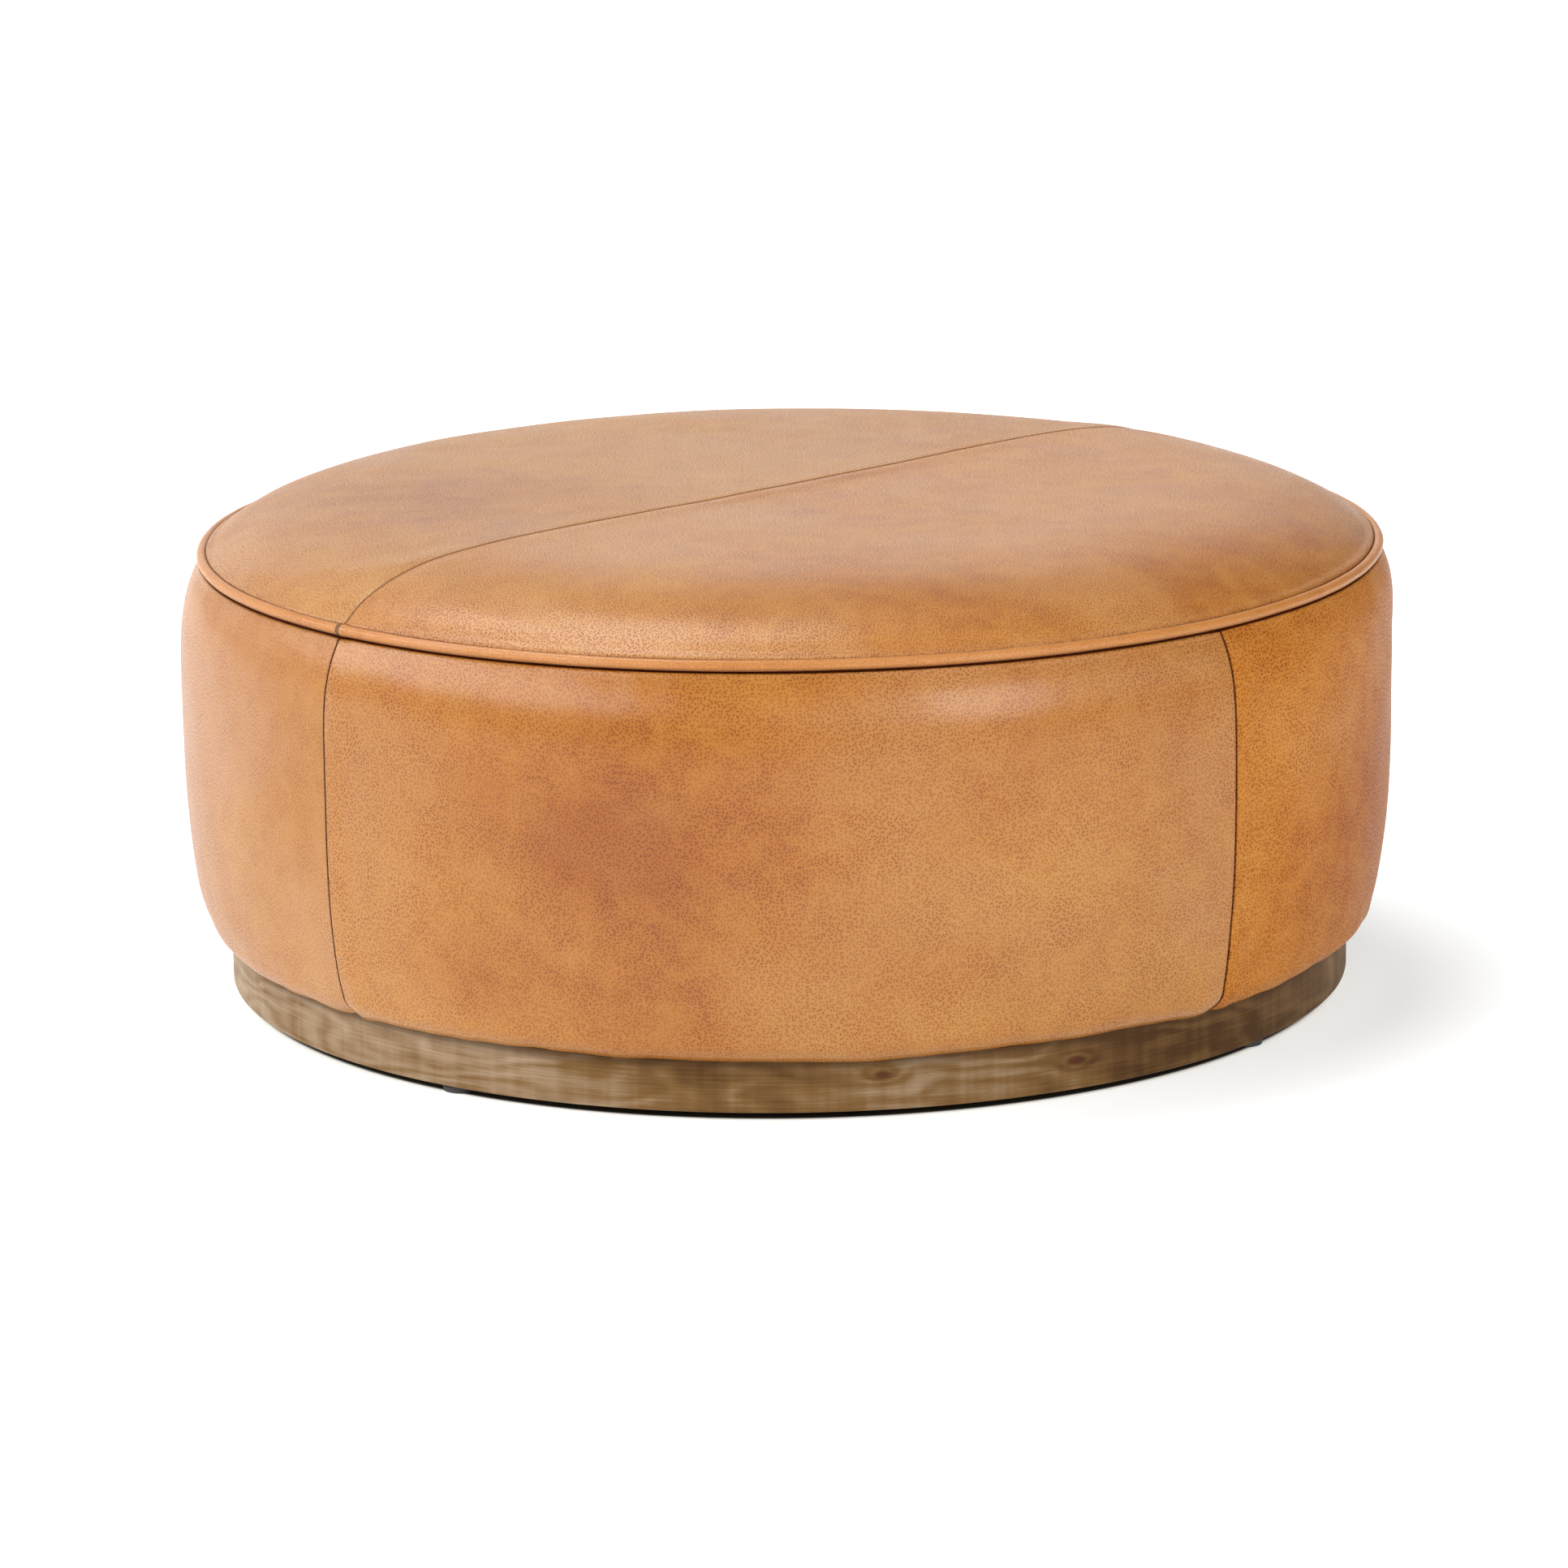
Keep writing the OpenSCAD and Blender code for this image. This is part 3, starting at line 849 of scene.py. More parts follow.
def make_foot_pads():
    """Four moulded glides, each with a rounded rim and a grip groove, riding with its foot."""
    pieces = []
    for i in range(1, 5):
        low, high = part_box(f"leveller_pad_{i}")
        centre = ((low.x + high.x) / 2, (low.y + high.y) / 2)
        radius, top = (high.x - low.x) / 2, high.z
        bore = 4.2 * MM
        rim = np.concatenate([arc(radius - 1 * MM, 1 * MM, 1 * MM, -90, 0, 5),
                              [[radius, 2.0 * MM], [radius - 0.5 * MM, 2.3 * MM], [radius, 2.6 * MM]],
                              arc(radius - 1.2 * MM, top - 1.2 * MM, 1.2 * MM, 0, 90, 5)])
        outline = np.concatenate([[[bore, 2.2 * MM], [bore, 0.5 * MM], [bore + 0.5 * MM, 0]], rim,
                                  [[bore + 3.2 * MM, top], [bore + 2.4 * MM, top - 0.4 * MM],
                                   [bore, top - 0.4 * MM]]])
        piece = turned(f"foot_glide_{i}", outline, 64, centre, body=f"foot_{i}")
        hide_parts(f"leveller_pad_{i}")
        pieces.append(piece)
    return pieces


# ---- underside: dust cloth and staples

STAPLES = 40
STAPLE_IN = 7 * MM
STAPLE_W = 10 * MM
STAPLE_LEG = 2.0 * MM
STAPLE_BEND = 0.4 * MM
WIRE_R = 0.3 * MM
CLOTH_T = 0.35 * MM
CLOTH_SAG = 1.2 * MM


def make_dust_cloth():
    """A thin black cloth stapled up inside the plinth, slack between its staples."""
    rings, columns = 40, 200
    radius = DUST_R * np.linspace(0, 1, rings)[:, None] ** 0.8
    azimuth = np.linspace(0, 2 * math.pi, columns, endpoint=False)[None, :]
    between = 1 - np.abs(np.cos(azimuth * STAPLES / 2)) ** 6
    share = radius / DUST_R
    flat = around(radius, azimuth, 0 * radius)
    sag = CLOTH_SAG * (1 - share ** 4) * (0.7 + 0.3 * wander(flat, 0.15, 31))
    pucker = between * (0.5 * MM * smooth(share, 0.93, 1.0)
                        + 0.35 * MM * smooth(share, 0.75, 1) * wander(flat, 0.03, 32))
    under = around(radius, azimuth, DUST_Z - 0.45 * MM - sag - pucker)
    over = under + np.array([0, 0, CLOTH_T])
    faces = round_shell_faces(rings, columns, hole=False)
    piece = new_piece("dust_cloth", two_sides(under, over), faces)
    weld(piece)
    recalculate(piece)
    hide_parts("dust_cover")
    return piece


def make_staples():
    """Wire staples through the dust cloth's edge: a crown with two bent legs."""
    sides, half, bend = 6, STAPLE_W / 2, STAPLE_BEND
    right = [(half - bend, 0), (half, 0.75 * bend), (half, STAPLE_LEG)]
    line = [(-x, z) for x, z in right[::-1]] + right
    verts, faces = [], []
    for i in range(STAPLES):
        azimuth = 2 * math.pi * i / STAPLES
        ahead = np.array([math.cos(azimuth), math.sin(azimuth), 0])
        out = np.array([math.sin(azimuth), -math.cos(azimuth), 0])
        middle = out * (DUST_R - STAPLE_IN) + np.array([0, 0, DUST_Z - 1.1 * MM])
        start = len(verts)
        for k, (x, z) in enumerate(line):
            here = middle + ahead * x + np.array([0, 0, z])
            before, after = line[max(k - 1, 0)], line[min(k + 1, len(line) - 1)]
            along = ahead * (after[0] - before[0]) + np.array([0, 0, after[1] - before[1]])
            along /= np.linalg.norm(along)
            side = np.cross(along, out)
            for s in range(sides):
                angle = 2 * math.pi * s / sides
                verts.append(here + WIRE_R * (out * math.cos(angle) + side * math.sin(angle)))
        faces += rod_faces(len(line), sides, start)
    piece = new_piece("dust_cloth_staples", verts, faces)
    recalculate(piece)
    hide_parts("dust_cover_staples")
    return piece


# ---- materials

class Nodes:
    """Short forms for adding nodes to a shader tree."""

    def __init__(self, tree):
        self.tree = tree

    def node(self, kind, *inputs, **settings):
        made = self.tree.nodes.new("ShaderNode" + kind)
        for key, value in settings.items():
            setattr(made, key, value)
        for socket, value in zip([s for s in made.inputs if s.enabled], inputs):
            self.put(socket, value)
        return made

    def put(self, socket, value):
        if isinstance(value, bpy.types.NodeSocket):
            self.tree.links.new(value, socket)
        elif isinstance(value, tuple) and len(value) == 3 and socket.type == "RGBA":
            socket.default_value = (*value, 1)
        else:
            socket.default_value = value

    def maths(self, operation, *inputs, clamp=False):
        return self.node("Math", *inputs, operation=operation, use_clamp=clamp).outputs[0]

    def times(self, first, second, clamp=False):
        return self.maths("MULTIPLY", first, second, clamp=clamp)

    def add_share(self, base, value, share, clamp=False):
        """The base plus a share of a value."""
        return self.maths("MULTIPLY_ADD", value, share, base, clamp=clamp)

    def add_swing(self, base, value, share):
        """The base plus a share of how far a value is from a noise's middle."""
        return self.add_share(base, self.maths("SUBTRACT", value, 0.5), share)

    def vector(self, operation, *inputs):
        made = self.node("VectorMath", *inputs, operation=operation)
        return next(s for s in made.outputs if s.enabled)

    def parts(self, coordinates):
        return self.node("SeparateXYZ", coordinates).outputs

    def scaled(self, coordinates, scale, shift=(0, 0, 0)):
        return self.node("Mapping", coordinates, shift, (0, 0, 0), scale).outputs[0]

    def named(self, kind, values, **settings):
        """A node with values on the inputs that are named."""
        made = self.node(kind, **settings)
        for name, value in values.items():
            self.put(made.inputs[name], value)
        return made

    def noise(self, place, scale, detail=3.0, roughness=0.5, distortion=0.0, output="Fac"):
        values = {"Vector": place, "Scale": scale, "Detail": detail, "Roughness": roughness,
                  "Distortion": distortion}
        return self.named("TexNoise", values, noise_dimensions="3D").outputs[output]

    def cells(self, place, scale, randomness=1.0, flat=True, output="Distance"):
        values = {"Vector": place, "Scale": scale, "Randomness": randomness}
        sort = "2D" if flat else "3D"
        return self.named("TexVoronoi", values, voronoi_dimensions=sort).outputs[output]

    def ramp(self, value, *stops):
        """A colour ramp with (position, colour) stops."""
        made = self.node("ValToRGB", value)
        elements = made.color_ramp.elements
        while len(elements) < len(stops):
            elements.new(0.5)
        for element, (position, colour) in zip(elements, stops):
            element.position = position
            element.color = (*colour, 1)
        return made.outputs[0]

    def between(self, value, low, high, to_low=0.0, to_high=1.0):
        """A smooth step from to_low to to_high, while the value goes from low to high."""
        values = {"Value": value, "From Min": low, "From Max": high, "To Min": to_low,
                  "To Max": to_high}
        return self.named("MapRange", values, interpolation_type="SMOOTHSTEP").outputs[0]

    def mix(self, share, first, second, how="MIX"):
        values = {0: share, 6: first, 7: second}
        return self.named("Mix", values, data_type="RGBA", blend_type=how).outputs[2]

    def vertex_layer(self, name):
        return self.node("Attribute", attribute_name=name, attribute_type="GEOMETRY").outputs["Fac"]

    def object_place(self):
        return self.node("TexCoord").outputs["Object"]


class Shader(Nodes):
    """A material with one Principled shader. Values for its own sockets come as keywords."""

    def __init__(self, name, **uniform):
        self.material = bpy.data.materials.new(name)
        self.material.use_nodes = True
        super().__init__(self.material.node_tree)
        self.tree.nodes.clear()
        self.surface = self.node("BsdfPrincipled")
        self.node("OutputMaterial", self.surface.outputs[0])
        for key, value in uniform.items():
            self.surface.inputs[key.replace("_", " ")].default_value = value

    def set(self, name, value):
        self.put(self.surface.inputs[name], value)

    def finished(self, colour, rough, height, distance, strength):
        """The material, with its colour, roughness and bump set."""
        self.set("Base Color", colour)
        self.set("Roughness", rough)
        bump = {"Height": height, "Distance": distance, "Strength": strength}
        self.set("Normal", self.named("Bump", bump).outputs[0])
        return self.material


GROOVE_SHADE = (0.15, 0.045, 0.012)     # what painted shade in the seams and grooves leaves of the leather's colour
PIT_SHADE = (0.56, 0.35, 0.05)      # what a hair pit leaves of it: partly its own darker colour, partly painted shade


def leather_material(name, pit_pitch, shift, colours, gloss, wax, pits, mottle):
    """Full-grain aniline leather: clouded colour, dark hair pits in pale pebbles (partly painted shade),
    faint scratches, and painted shade in its seams and grooves.
    """
    dark, ground, light, rose = colours
    s = Shader(name, IOR=1.46, Specular_IOR_Level=gloss, Coat_Roughness=0.25)
    hide = s.node("UVMap", uv_map="hide").outputs[0]
    place = s.scaled(s.object_place(), (1, 1, 1), shift)

    drift = s.noise(hide, 260.0, 1.0, output="Color")
    wobble = s.vector("SCALE", s.vector("SUBTRACT", drift, (0.5, 0.5, 0.5)))
    s.put(wobble.node.inputs["Scale"], 0.9 * MM)
    warped = s.vector("ADD", hide, wobble)
    pit = s.cells(warped, 1 / pit_pitch, randomness=0.85)
    pit_mask = s.between(pit, 0.08, 0.42, 1.0, 0.0)
    fine = s.cells(warped, 2.3 / pit_pitch)
    fine_mask = s.between(fine, 0.05, 0.45, 1.0, 0.0)

    broad = s.noise(place, 3.4, 4.0, 0.55, 0.3)
    cloud = s.noise(place, 13.0, 5.0, 0.62, 0.3)
    blotch = s.noise(place, 34.0, 4.0, 0.6, 0.5)
    speck = s.noise(place, 90.0, 3.0, 0.6)
    tone = s.maths("ADD", s.times(broad, 0.55), s.times(cloud, 0.45))
    tone = s.add_swing(0.5, tone, 1.7 * mottle)
    tone = s.add_swing(tone, blotch, 0.75 * mottle)
    tone = s.add_swing(tone, speck, 0.40)
    # Patina and painted light from the vertex layer.
    tone = s.maths("ADD", tone, s.vertex_layer("patina"), clamp=True)
    colour = s.ramp(tone, (0.0, dark), (0.45, ground), (1.0, light))
    blush = s.between(s.noise(place, 5.0, 3.0, 0.5, 0.4), 0.45, 0.72)
    colour = s.mix(s.times(blush, 0.55), colour, rose)

    vein = s.noise(s.scaled(place, (1, 1, 1.5), (3, 7, 1)), 7.0, 5.0, 0.6, 1.4)
    vein = s.between(s.maths("ABSOLUTE", s.maths("SUBTRACT", vein, 0.5)), 0.001, 0.006, 1.0, 0.0)
    shown = s.between(s.noise(place, 4.0, 2.0), 0.52, 0.66)
    scratch = s.times(vein, shown)
    colour = s.mix(s.times(scratch, 0.28), colour, light)

    # Painted shade in the seams and in the grooves by the piping: darker, rougher and without wax.
    burnish = s.vertex_layer("burnish")
    burnt = s.mix(1.0, colour, GROOVE_SHADE, "MULTIPLY")
    colour = s.mix(s.times(burnish, 0.97), colour, burnt)
    s.set("Coat Weight", s.times(s.maths("SUBTRACT", 1.0, burnish), wax))

    # The pits are darkened: partly their own colour, partly painted shade in them.
    depth = s.times(s.between(blotch, 0.25, 0.75, 1.0, 0.45), pits)
    pit_share = s.times(pit_mask, depth, clamp=True)
    pit_shade_colour = s.mix(1.0, colour, PIT_SHADE, "MULTIPLY")
    colour = s.mix(pit_share, colour, pit_shade_colour)
    colour = s.mix(s.times(fine_mask, 0.12 * pits), colour, pit_shade_colour)

    rough = s.add_swing(0.40, cloud, 0.22)
    rough = s.add_share(rough, pit_mask, 0.18)
    rough = s.add_share(rough, burnish, 0.45)
    grain = s.maths("ADD", s.times(pit_mask, -1.0), s.times(fine_mask, -0.25))
    grain = s.add_share(grain, scratch, -0.4)
    return s.finished(colour, rough, grain, 0.25 * MM, 1.0)


def wood_coordinates(s):
    """The plinth's face as a flat board's coordinates, and its two parts, along and height."""
    x, y, height = s.parts(s.object_place())
    along = s.times(s.maths("ARCTAN2", x, s.times(y, -1.0)), PLINTH_R)
    return s.node("CombineXYZ", along, height, 0.0).outputs[0], along, height


KNOTS = ((8.7, 0.036), (28.5, 0.031))    # azimuth and height of two small knots in the veneer
KNOT_W = 16 * MM
KNOT_H = 7 * MM
VENEER_TONE_AND_LIGHT = (                            # azimuth and paleness of the veneer: partly its own tone, partly painted light, paler on the lit left and darker on the right
    (-180, 0.42), (-130, 0.50), (-62, 0.70), (-38, 0.75), (-21, 0.60), (-13, 0.38), (2, 0.45),
    (12, 0.62), (19, 0.50), (26, 0.30), (34, 0.12), (50, 0.12), (70, 0.20), (125, 0.35), (180, 0.42),
)


def oak_material():
    """Grey-brown weathered veneer: long grain, pore flecks, curved growth rings and two knots; paler on
    its lit left and darker on its right, partly as painted light, and a painted shadow at its top under
    the cover's roll.
    """
    s = Shader("oak_veneer", IOR=1.45, Specular_IOR_Level=0.12)
    board, along, height = wood_coordinates(s)
    bend = s.noise(s.scaled(board, (3.0, 9.0, 1)), 1.0, 3.0, 0.5)
    knots = None
    for azimuth, z in KNOTS:
        x = s.maths("DIVIDE", s.maths("SUBTRACT", along, rad(azimuth) * PLINTH_R), KNOT_W)
        y = s.maths("DIVIDE", s.maths("SUBTRACT", height, z), KNOT_H)
        away = s.maths("ADD", s.times(x, x), s.times(y, y))
        near = s.maths("POWER", 2.718, s.times(away, -1.0))
        knots = near if knots is None else s.maths("ADD", knots, near)
    rings = s.add_share(s.times(bend, 13.0), height, 34.0)
    rings = s.add_share(rings, knots, 1.6)
    ring_tone = s.add_share(0.5, s.maths("SINE", s.times(rings, 6.28)), 0.5)
    fibre = s.noise(s.scaled(board, (14.0, 520.0, 1)), 1.0, 4.0, 0.65)
    pore = s.noise(s.scaled(board, (95.0, 1500.0, 1), (0.3, 0.2, 0)), 1.0, 2.0, 0.6)
    pore = s.between(pore, 0.60, 0.74)
    patch = s.noise(s.scaled(board, (5.0, 14.0, 1), (2.3, 0.1, 0)), 1.0, 3.0, 0.55)
    bars = s.noise(s.scaled(board, (75.0, 4.0, 1), (1.1, 0, 0)), 1.0, 2.0, 0.5)
    tone = 0.5
    for pattern, share in ((fibre, 0.6), (ring_tone, 0.20), (patch, 1.2), (bars, 0.40)):
        tone = s.add_swing(tone, pattern, share)
    tone_and_light = s.ramp(s.add_share(0.5, along, 1 / (2 * math.pi * PLINTH_R)),
                     *[(0.5 + a / 360, (v, v, v)) for a, v in VENEER_TONE_AND_LIGHT])
    tone = s.maths("ADD", tone, s.maths("SUBTRACT", tone_and_light, 0.5))
    tone = s.add_share(tone, knots, -0.22, clamp=True)
    colour = s.ramp(tone, (0.0, (0.062, 0.026, 0.006)), (0.45, (0.166, 0.087, 0.028)),
                    (1.0, (0.36, 0.262, 0.172)))
    colour = s.mix(s.times(pore, 0.55), colour, (0.075, 0.036, 0.016))
    heart = s.between(knots, 0.72, 0.98)
    colour = s.mix(s.times(heart, 0.8), colour, (0.075, 0.018, 0.008))
    # Painted shadow of the cover's roll along the veneer's top edge.
    roll_shadow = s.between(height, 0.038, 0.050)
    colour = s.mix(s.times(roll_shadow, 0.65), colour, (0.050, 0.022, 0.008))
    relief = s.add_share(s.times(fibre, 0.6), pore, -1.0)
    return s.finished(colour, s.add_share(0.45, fibre, 0.2), relief, 0.10 * MM, 0.7)


PLY_PITCH = 3.2 * MM             # one pale and one dark ply


def timber_material(name, pale, dark, stretch, layered=False):
    """Raw timber: fine grain stretched along one axis; layered shows the plies on a board's edge."""
    s = Shader(name)
    place = s.object_place()
    grain = s.noise(s.scaled(place, stretch), 1.0, 5.0, 0.6, 0.4)
    patch = s.noise(place, 6.0, 3.0)
    tone = s.add_share(s.times(grain, 0.6), patch, 0.5, clamp=True)
    colour = s.ramp(tone, (0.3, dark), (0.75, pale))
    if layered:
        ply = s.maths("SINE", s.times(s.parts(place)["Z"], 2 * math.pi / PLY_PITCH))
        edge = s.between(ply, 0.2, 0.6)
        facing = s.parts(s.node("NewGeometry").outputs["Normal"])["Z"]
        upright = s.between(s.maths("ABSOLUTE", facing), 0.3, 0.6, 1.0, 0.0)
        colour = s.mix(s.times(edge, s.times(upright, 0.6)), colour, dark)
    return s.finished(colour, s.add_share(0.5, grain, 0.25), grain, 0.2 * MM, 0.5)


def foam_material():
    """Cut open-cell foam: small cells and a yellowed skin."""
    s = Shader("seat_foam")
    place = s.object_place()
    cell = s.cells(place, 900.0, flat=False)
    aged = s.noise(place, 8.0, 3.0)
    colour = s.ramp(aged, (0.3, (0.80, 0.66, 0.36)), (0.7, (0.88, 0.79, 0.52)))
    colour = s.mix(s.between(cell, 0.1, 0.5, 0.35, 0.0), colour, (0.45, 0.34, 0.16))
    return s.finished(colour, s.add_share(0.85, aged, 0.1), cell, 0.5 * MM, 0.8)


def fibre_material(name, pale, dark, scale, rough=0.9, depth=0.4 * MM):
    """Matted fibres: wadding, cord and non-woven cloth, by their colours and scale."""
    s = Shader(name, Sheen_Weight=0.2, Sheen_Roughness=0.5)
    place = s.object_place()
    strands = s.noise(place, scale, 6.0, 0.7, 2.0)
    clumps = s.noise(place, scale / 9, 3.0)
    tone = s.add_share(s.times(strands, 0.5), clumps, 0.5)
    colour = s.ramp(tone, (0.35, dark), (0.65, pale))
    return s.finished(colour, s.add_share(rough - 0.08, strands, 0.1), strands, depth, 0.7)


def steel_material():
    """Zinc-plated steel: fine drawn lines and a mottled spangle."""
    s = Shader("zinc_steel", Metallic=1.0)
    place = s.object_place()
    shade = s.parts(s.cells(place, 260.0, flat=False, output="Color"))["X"]
    drawn = s.noise(s.scaled(place, (60, 60, 1800)), 1.0, 2.0)
    tone = s.add_share(s.times(drawn, 0.5), shade, 0.4)
    colour = s.ramp(tone, (0.1, (0.44, 0.45, 0.47)), (0.8, (0.66, 0.67, 0.68)))
    return s.finished(colour, s.add_share(0.25, tone, 0.25), drawn, 0.02 * MM, 0.4)


def nylon_material():
    """Matt black moulded nylon: fine spark texture and scuffs."""
    s = Shader("black_nylon", IOR=1.5)
    place = s.object_place()
    spark = s.noise(place, 2600.0, 3.0, 0.6)
    scuff = s.noise(place, 160.0, 4.0, 0.6)
    colour = s.ramp(scuff, (0.4, (0.012, 0.012, 0.013)), (0.8, (0.035, 0.034, 0.033)))
    return s.finished(colour, s.add_share(0.42, scuff, 0.2), spark, 0.05 * MM, 0.5)


def thread_material():
    """Twisted brown sewing thread."""
    s = Shader("sewing_thread")
    twist = s.noise(s.object_place(), 1500.0, 3.0, 0.6)
    colour = s.ramp(twist, (0.3, (0.045, 0.016, 0.006)), (0.7, (0.11, 0.044, 0.018)))
    return s.finished(colour, s.add_share(0.5, twist, 0.2), twist, 0.1 * MM, 0.6)


def dress(piece, material):
    piece.data.materials.clear()
    piece.data.materials.append(material)


# ---- assembling the looks

HIDE = ((0.355, 0.098, 0.009), (0.448, 0.156, 0.022), (0.52, 0.215, 0.042), (0.50, 0.218, 0.070))
PIPING_HIDE = ((0.36, 0.115, 0.012), (0.46, 0.172, 0.028), (0.54, 0.230, 0.055), (0.52, 0.230, 0.080))

# The tints are partly painted light: the front and left walls are darker copies of the hide against the
# light the floor and lamps give them, and the left wall and the crown's back get extra blue as painted
# sheen.
looks = {                        # tint with painted light, pit pitch, grain shift, gloss, wax, pits, mottle
    "side_leather_front": ((0.83, 0.85, 0.76), 2.7 * MM, (0, 0, 0), 0.10, 0.72, 1.1, 1.0),
    "side_leather_right": ((0.96, 1.00, 1.05), 3.0 * MM, (2.1, 0.7, 0.4), 0.06, 0.03, 1.2, 1.0),
    "side_leather_back": ((0.98, 1.00, 0.95), 2.7 * MM, (4.4, 1.9, 0.8), 0.30, 0.10, 1.0, 1.0),
    "side_leather_left": ((0.84, 0.95, 1.45), 2.4 * MM, (6.2, 3.3, 1.1), 0.15, 0.35, 0.8, 0.8),
    "top_leather_front": ((0.92, 1.02, 1.04), 2.4 * MM, (8.5, 5.1, 1.9), 0.46, 0.26, 1.1, 1.1),
    "top_leather_back": ((0.89, 1.05, 1.30), 2.4 * MM, (9.9, 6.4, 2.7), 0.46, 0.20, 1.0, 1.1),
}


def tinted(colours, tint_and_light):
    return [tuple(channel * share for channel, share in zip(colour, tint_and_light)) for colour in colours]


def dress_all(pieces, material):
    for piece in pieces:
        dress(piece, material)


for piece in make_cover():
    tint_and_light, pitch, shift, *finish = looks[piece.name]
    dress(piece, leather_material(piece.name + "_hide", pitch, shift, tinted(HIDE, tint_and_light), *finish))
piping_hide = leather_material("piping_hide", 2.0 * MM, (12, 3, 5), PIPING_HIDE, 0.5, 0.25, 0.5, 0.6)
dress(make_piping(), piping_hide)
dress_all(make_stitches(), thread_material())
dress_all(make_wadding(),
          fibre_material("fibre_wadding", (0.90, 0.90, 0.87), (0.70, 0.70, 0.66), 300.0))
dress(make_plinth(), oak_material())
dress_all(make_foot_pads(), nylon_material())
steel = steel_material()
dress(make_dust_cloth(),
      fibre_material("black_nonwoven", (0.035, 0.035, 0.036), (0.010, 0.010, 0.010), 700.0,
                     rough=0.85, depth=0.15 * MM))
dress(make_staples(), steel)

foam = foam_material()
plywood = timber_material("plywood", (0.70, 0.52, 0.31), (0.46, 0.30, 0.15), (5, 160, 160), layered=True)
pine = timber_material("pine", (0.78, 0.58, 0.34), (0.55, 0.34, 0.16), (90, 90, 4))
hardboard = timber_material("hardboard", (0.24, 0.13, 0.06), (0.12, 0.06, 0.028), (300, 300, 300))
cotton = fibre_material("cotton_cord", (0.82, 0.80, 0.72), (0.60, 0.57, 0.48), 900.0)
slot_looks = {"foam": foam, "plywood": plywood, "pine": pine, "hardboard": hardboard,
              "cord": cotton, "steel": steel}
for part in frame["record"]["subparts"]:
    node = frame["nodes"].get(part["node"])
    if node is not None and part["material_slot"] in slot_looks and not node.hide_render:
        dress(node, slot_looks[part["material_slot"]])

# ---- floor, lights and camera

VIEW_ELEVATION = 13.19
VIEW_DISTANCE = 5.484
VIEW_TARGET = Vector((0, 0, 0.2))
SENSOR_W = 36
LENS = 149.07
VIEW_ROLL = -0.695
SHIFT_X = -0.0020
SHIFT_Y = -0.0314

FLOOR_GLOW = 0.25                 # the paper's own light
RIM_PAINTED_LIGHT = 0.36                   # painted light: a stronger glow right beside the plinth, which clears its contact shadow
RIM_W = 0.06
SHADE_R = PLINTH_R - 12 * MM       # painted shade: the floor is dark inside this radius, under the plinth
SHADE_EDGE = 6 * MM
FLOOR_HALF = 30


def make_floor():
    """Pale paper that glows a little as painted light, more right beside the plinth and far off, with
    painted shade under the ottoman and a cool tint near it against the leather's warm bounce; the paper
    is a painted pool of light that ends in a duller floor without glow on the camera's side and on the
    right."""
    mesh = bpy.data.meshes.new("studio_floor")
    corners = [(x * FLOOR_HALF, y * FLOOR_HALF, 0) for x, y in ((-1, -1), (1, -1), (1, 1), (-1, 1))]
    mesh.from_pydata(corners, [], [(0, 1, 2, 3)])
    floor = add_object("studio_floor", mesh)
    s = Shader("studio_floor", Roughness=0.8, Specular_IOR_Level=0.2, Emission_Strength=1.0)
    place = s.object_place()
    x, y = list(s.parts(place))[:2]
    dust = s.noise(place, 3.0, 4.0)
    away = s.vector("LENGTH", place)
    dull = s.maths("MAXIMUM", s.between(y, -4.6, -1.5, 1.0, 0.0),
                   s.between(s.add_share(x, y, -0.12), 1.0, 3.6))
    paper = s.ramp(dust, (0.3, (0.89, 0.89, 0.89)), (0.7, (0.91, 0.91, 0.91)))
    # Painted: the paper is cooler near the ottoman, against the warm light the leather throws on it.
    near = s.ramp(dust, (0.3, (0.82, 0.88, 0.90)), (0.7, (0.84, 0.90, 0.92)))
    paper = s.mix(s.between(away, 0.7, 1.6), near, paper)
    paper = s.mix(dull, paper, (0.52, 0.52, 0.52))
    # Painted shade: the floor is almost black under the plinth.
    shade_beneath = s.between(away, SHADE_R, SHADE_R + SHADE_EDGE, 1.0, 0.0)
    s.set("Base Color", s.mix(shade_beneath, paper, (0.02, 0.018, 0.015)))
    # Painted light: the paper glows, most right beside the plinth, more again far off, and not on the
    # duller floor.
    beside = s.between(away, SHADE_R, SHADE_R + SHADE_EDGE)
    rim = s.between(away, PLINTH_R, PLINTH_R + RIM_W, RIM_PAINTED_LIGHT, FLOOR_GLOW)
    glow = s.times(beside, rim)
    glow = s.add_share(glow, s.between(away, 1.5, 4.0), 0.35)
    glow = s.times(glow, s.maths("SUBTRACT", 1.0, dull))
    s.set("Emission Color", s.node("CombineXYZ", glow, glow, glow).outputs[0])
    dress(floor, s.material)


def lamp(name, kind, direction, energy, distance=0):
    """A light aimed at the ottoman's middle from a direction."""
    light = bpy.data.lights.new(name, kind)
    light.energy = energy
    holder = add_object(name, light)
    away = Vector(direction).normalized()
    holder.location = VIEW_TARGET + away * distance
    holder.rotation_euler = away.to_track_quat("Z", "Y").to_euler()
    return light


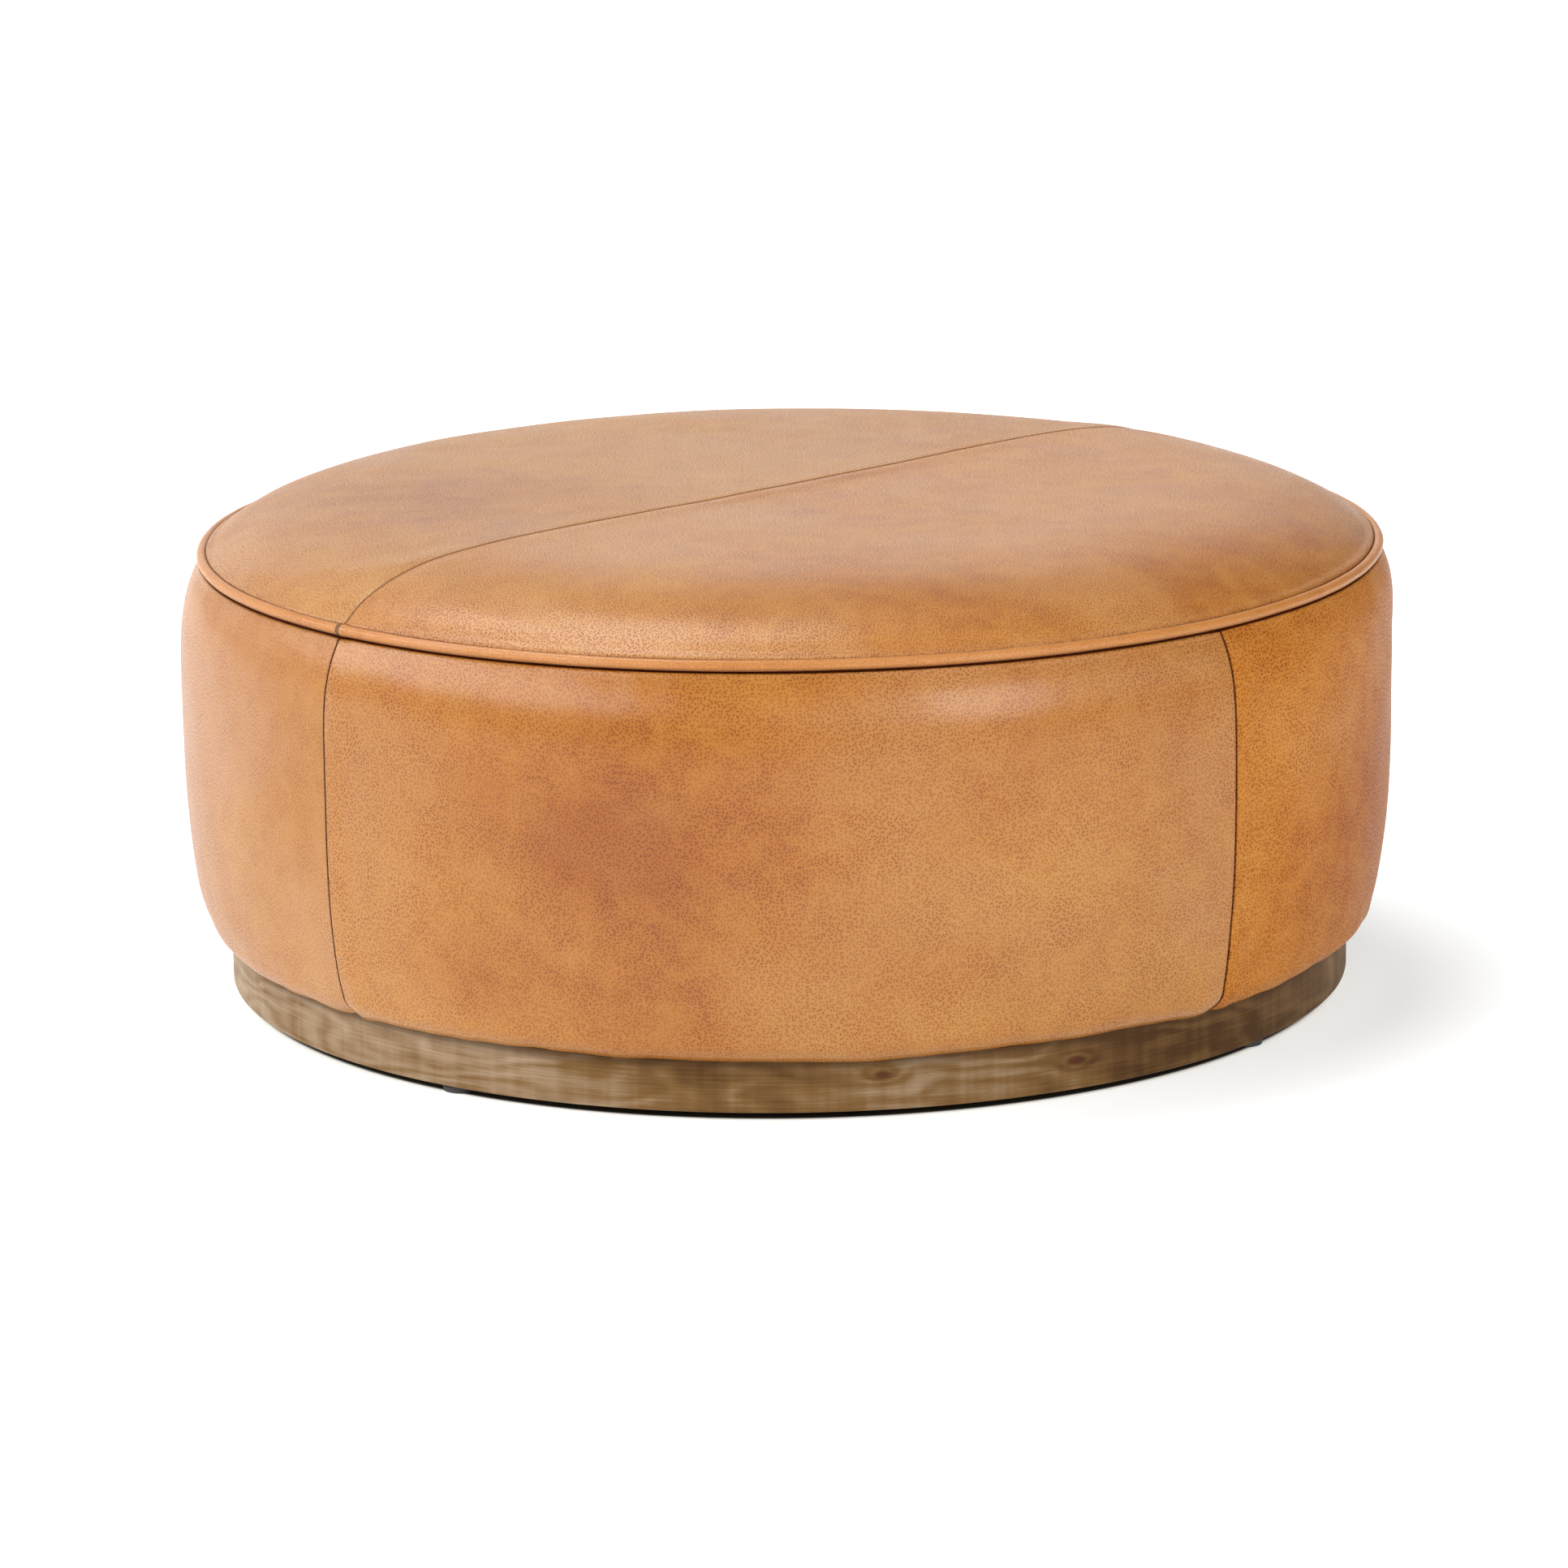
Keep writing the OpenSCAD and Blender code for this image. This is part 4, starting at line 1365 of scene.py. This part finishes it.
ROOM = 0.18                       # the dim room's own brightness
GLOWS = (          # brightness, facing, where it starts and fills, where it begins and ends upwards
    (1.42, (-0.45, 0.89, 0), (0.45, 0.95), (0.03, 0.12), (0.08, 0.66)),    # low backdrop, rear left
    (0.22, (-0.93, -0.37, 0), (0.40, 0.85), (0.03, 0.12), (0.62, 0.92)),   # dim wall on the left
    (4.90, (-0.94, -0.34, 0), (0.60, 0.74), (0.20, 0.32), (0.62, 0.78)),   # key softbox, left
    (1.34, (0.66, -0.75, 0), (0.45, 0.85), (0.03, 0.12), (0.40, 0.70)),    # soft fill, front right
)


def make_lights():
    """A dim room with four soft glows, two wide suns and a small softbox."""
    world = bpy.data.worlds.new("studio")
    bpy.context.scene.world = world
    world.use_nodes = True
    s = Nodes(world.node_tree)
    direction = s.node("TexCoord").outputs["Generated"]
    height = s.parts(direction)["Z"]
    strength = ROOM
    for brightness, facing, (start, full), (low, lit), (fade, end) in GLOWS:
        towards = s.vector("DOT_PRODUCT", direction, facing)
        band = s.maths("SUBTRACT", s.between(height, low, lit), s.between(height, fade, end))
        glow = s.times(s.times(s.between(towards, start, full), band), brightness)
        strength = s.maths("ADD", glow, strength)
    background = s.tree.nodes["Background"]
    s.put(background.inputs["Color"], (1, 1, 1))
    s.put(background.inputs["Strength"], strength)
    lamp("key_left", "SUN", (-0.28, 0.32, 0.90), 1.65).angle = rad(34)
    lamp("fill_right", "SUN", (0.25, -0.40, 0.88), 0.65).angle = rad(36)
    lamp("accent_right", "AREA", (0.55, -0.79, 0.31), 17, distance=3.0).size = 1.1


def make_camera():
    """The photo's view: its place, its lens, its small roll and shift."""
    camera = bpy.data.cameras.new("photo_view")
    camera.sensor_width = SENSOR_W
    camera.lens = LENS
    camera.shift_x = SHIFT_X
    camera.shift_y = SHIFT_Y
    camera.clip_end = 200
    holder = add_object("photo_view", camera)
    elevation = rad(VIEW_ELEVATION)
    away = Vector((0, -math.cos(elevation), math.sin(elevation)))
    holder.location = VIEW_TARGET + VIEW_DISTANCE * away
    facing = away.to_track_quat("Z", "Y").to_matrix().to_4x4()
    holder.rotation_euler = facing.to_euler()
    holder.rotation_euler.rotate_axis("Z", rad(VIEW_ROLL))
    bpy.context.scene.camera = holder


make_floor()
make_lights()
make_camera()
bpy.context.scene.view_settings.view_transform = "Standard"
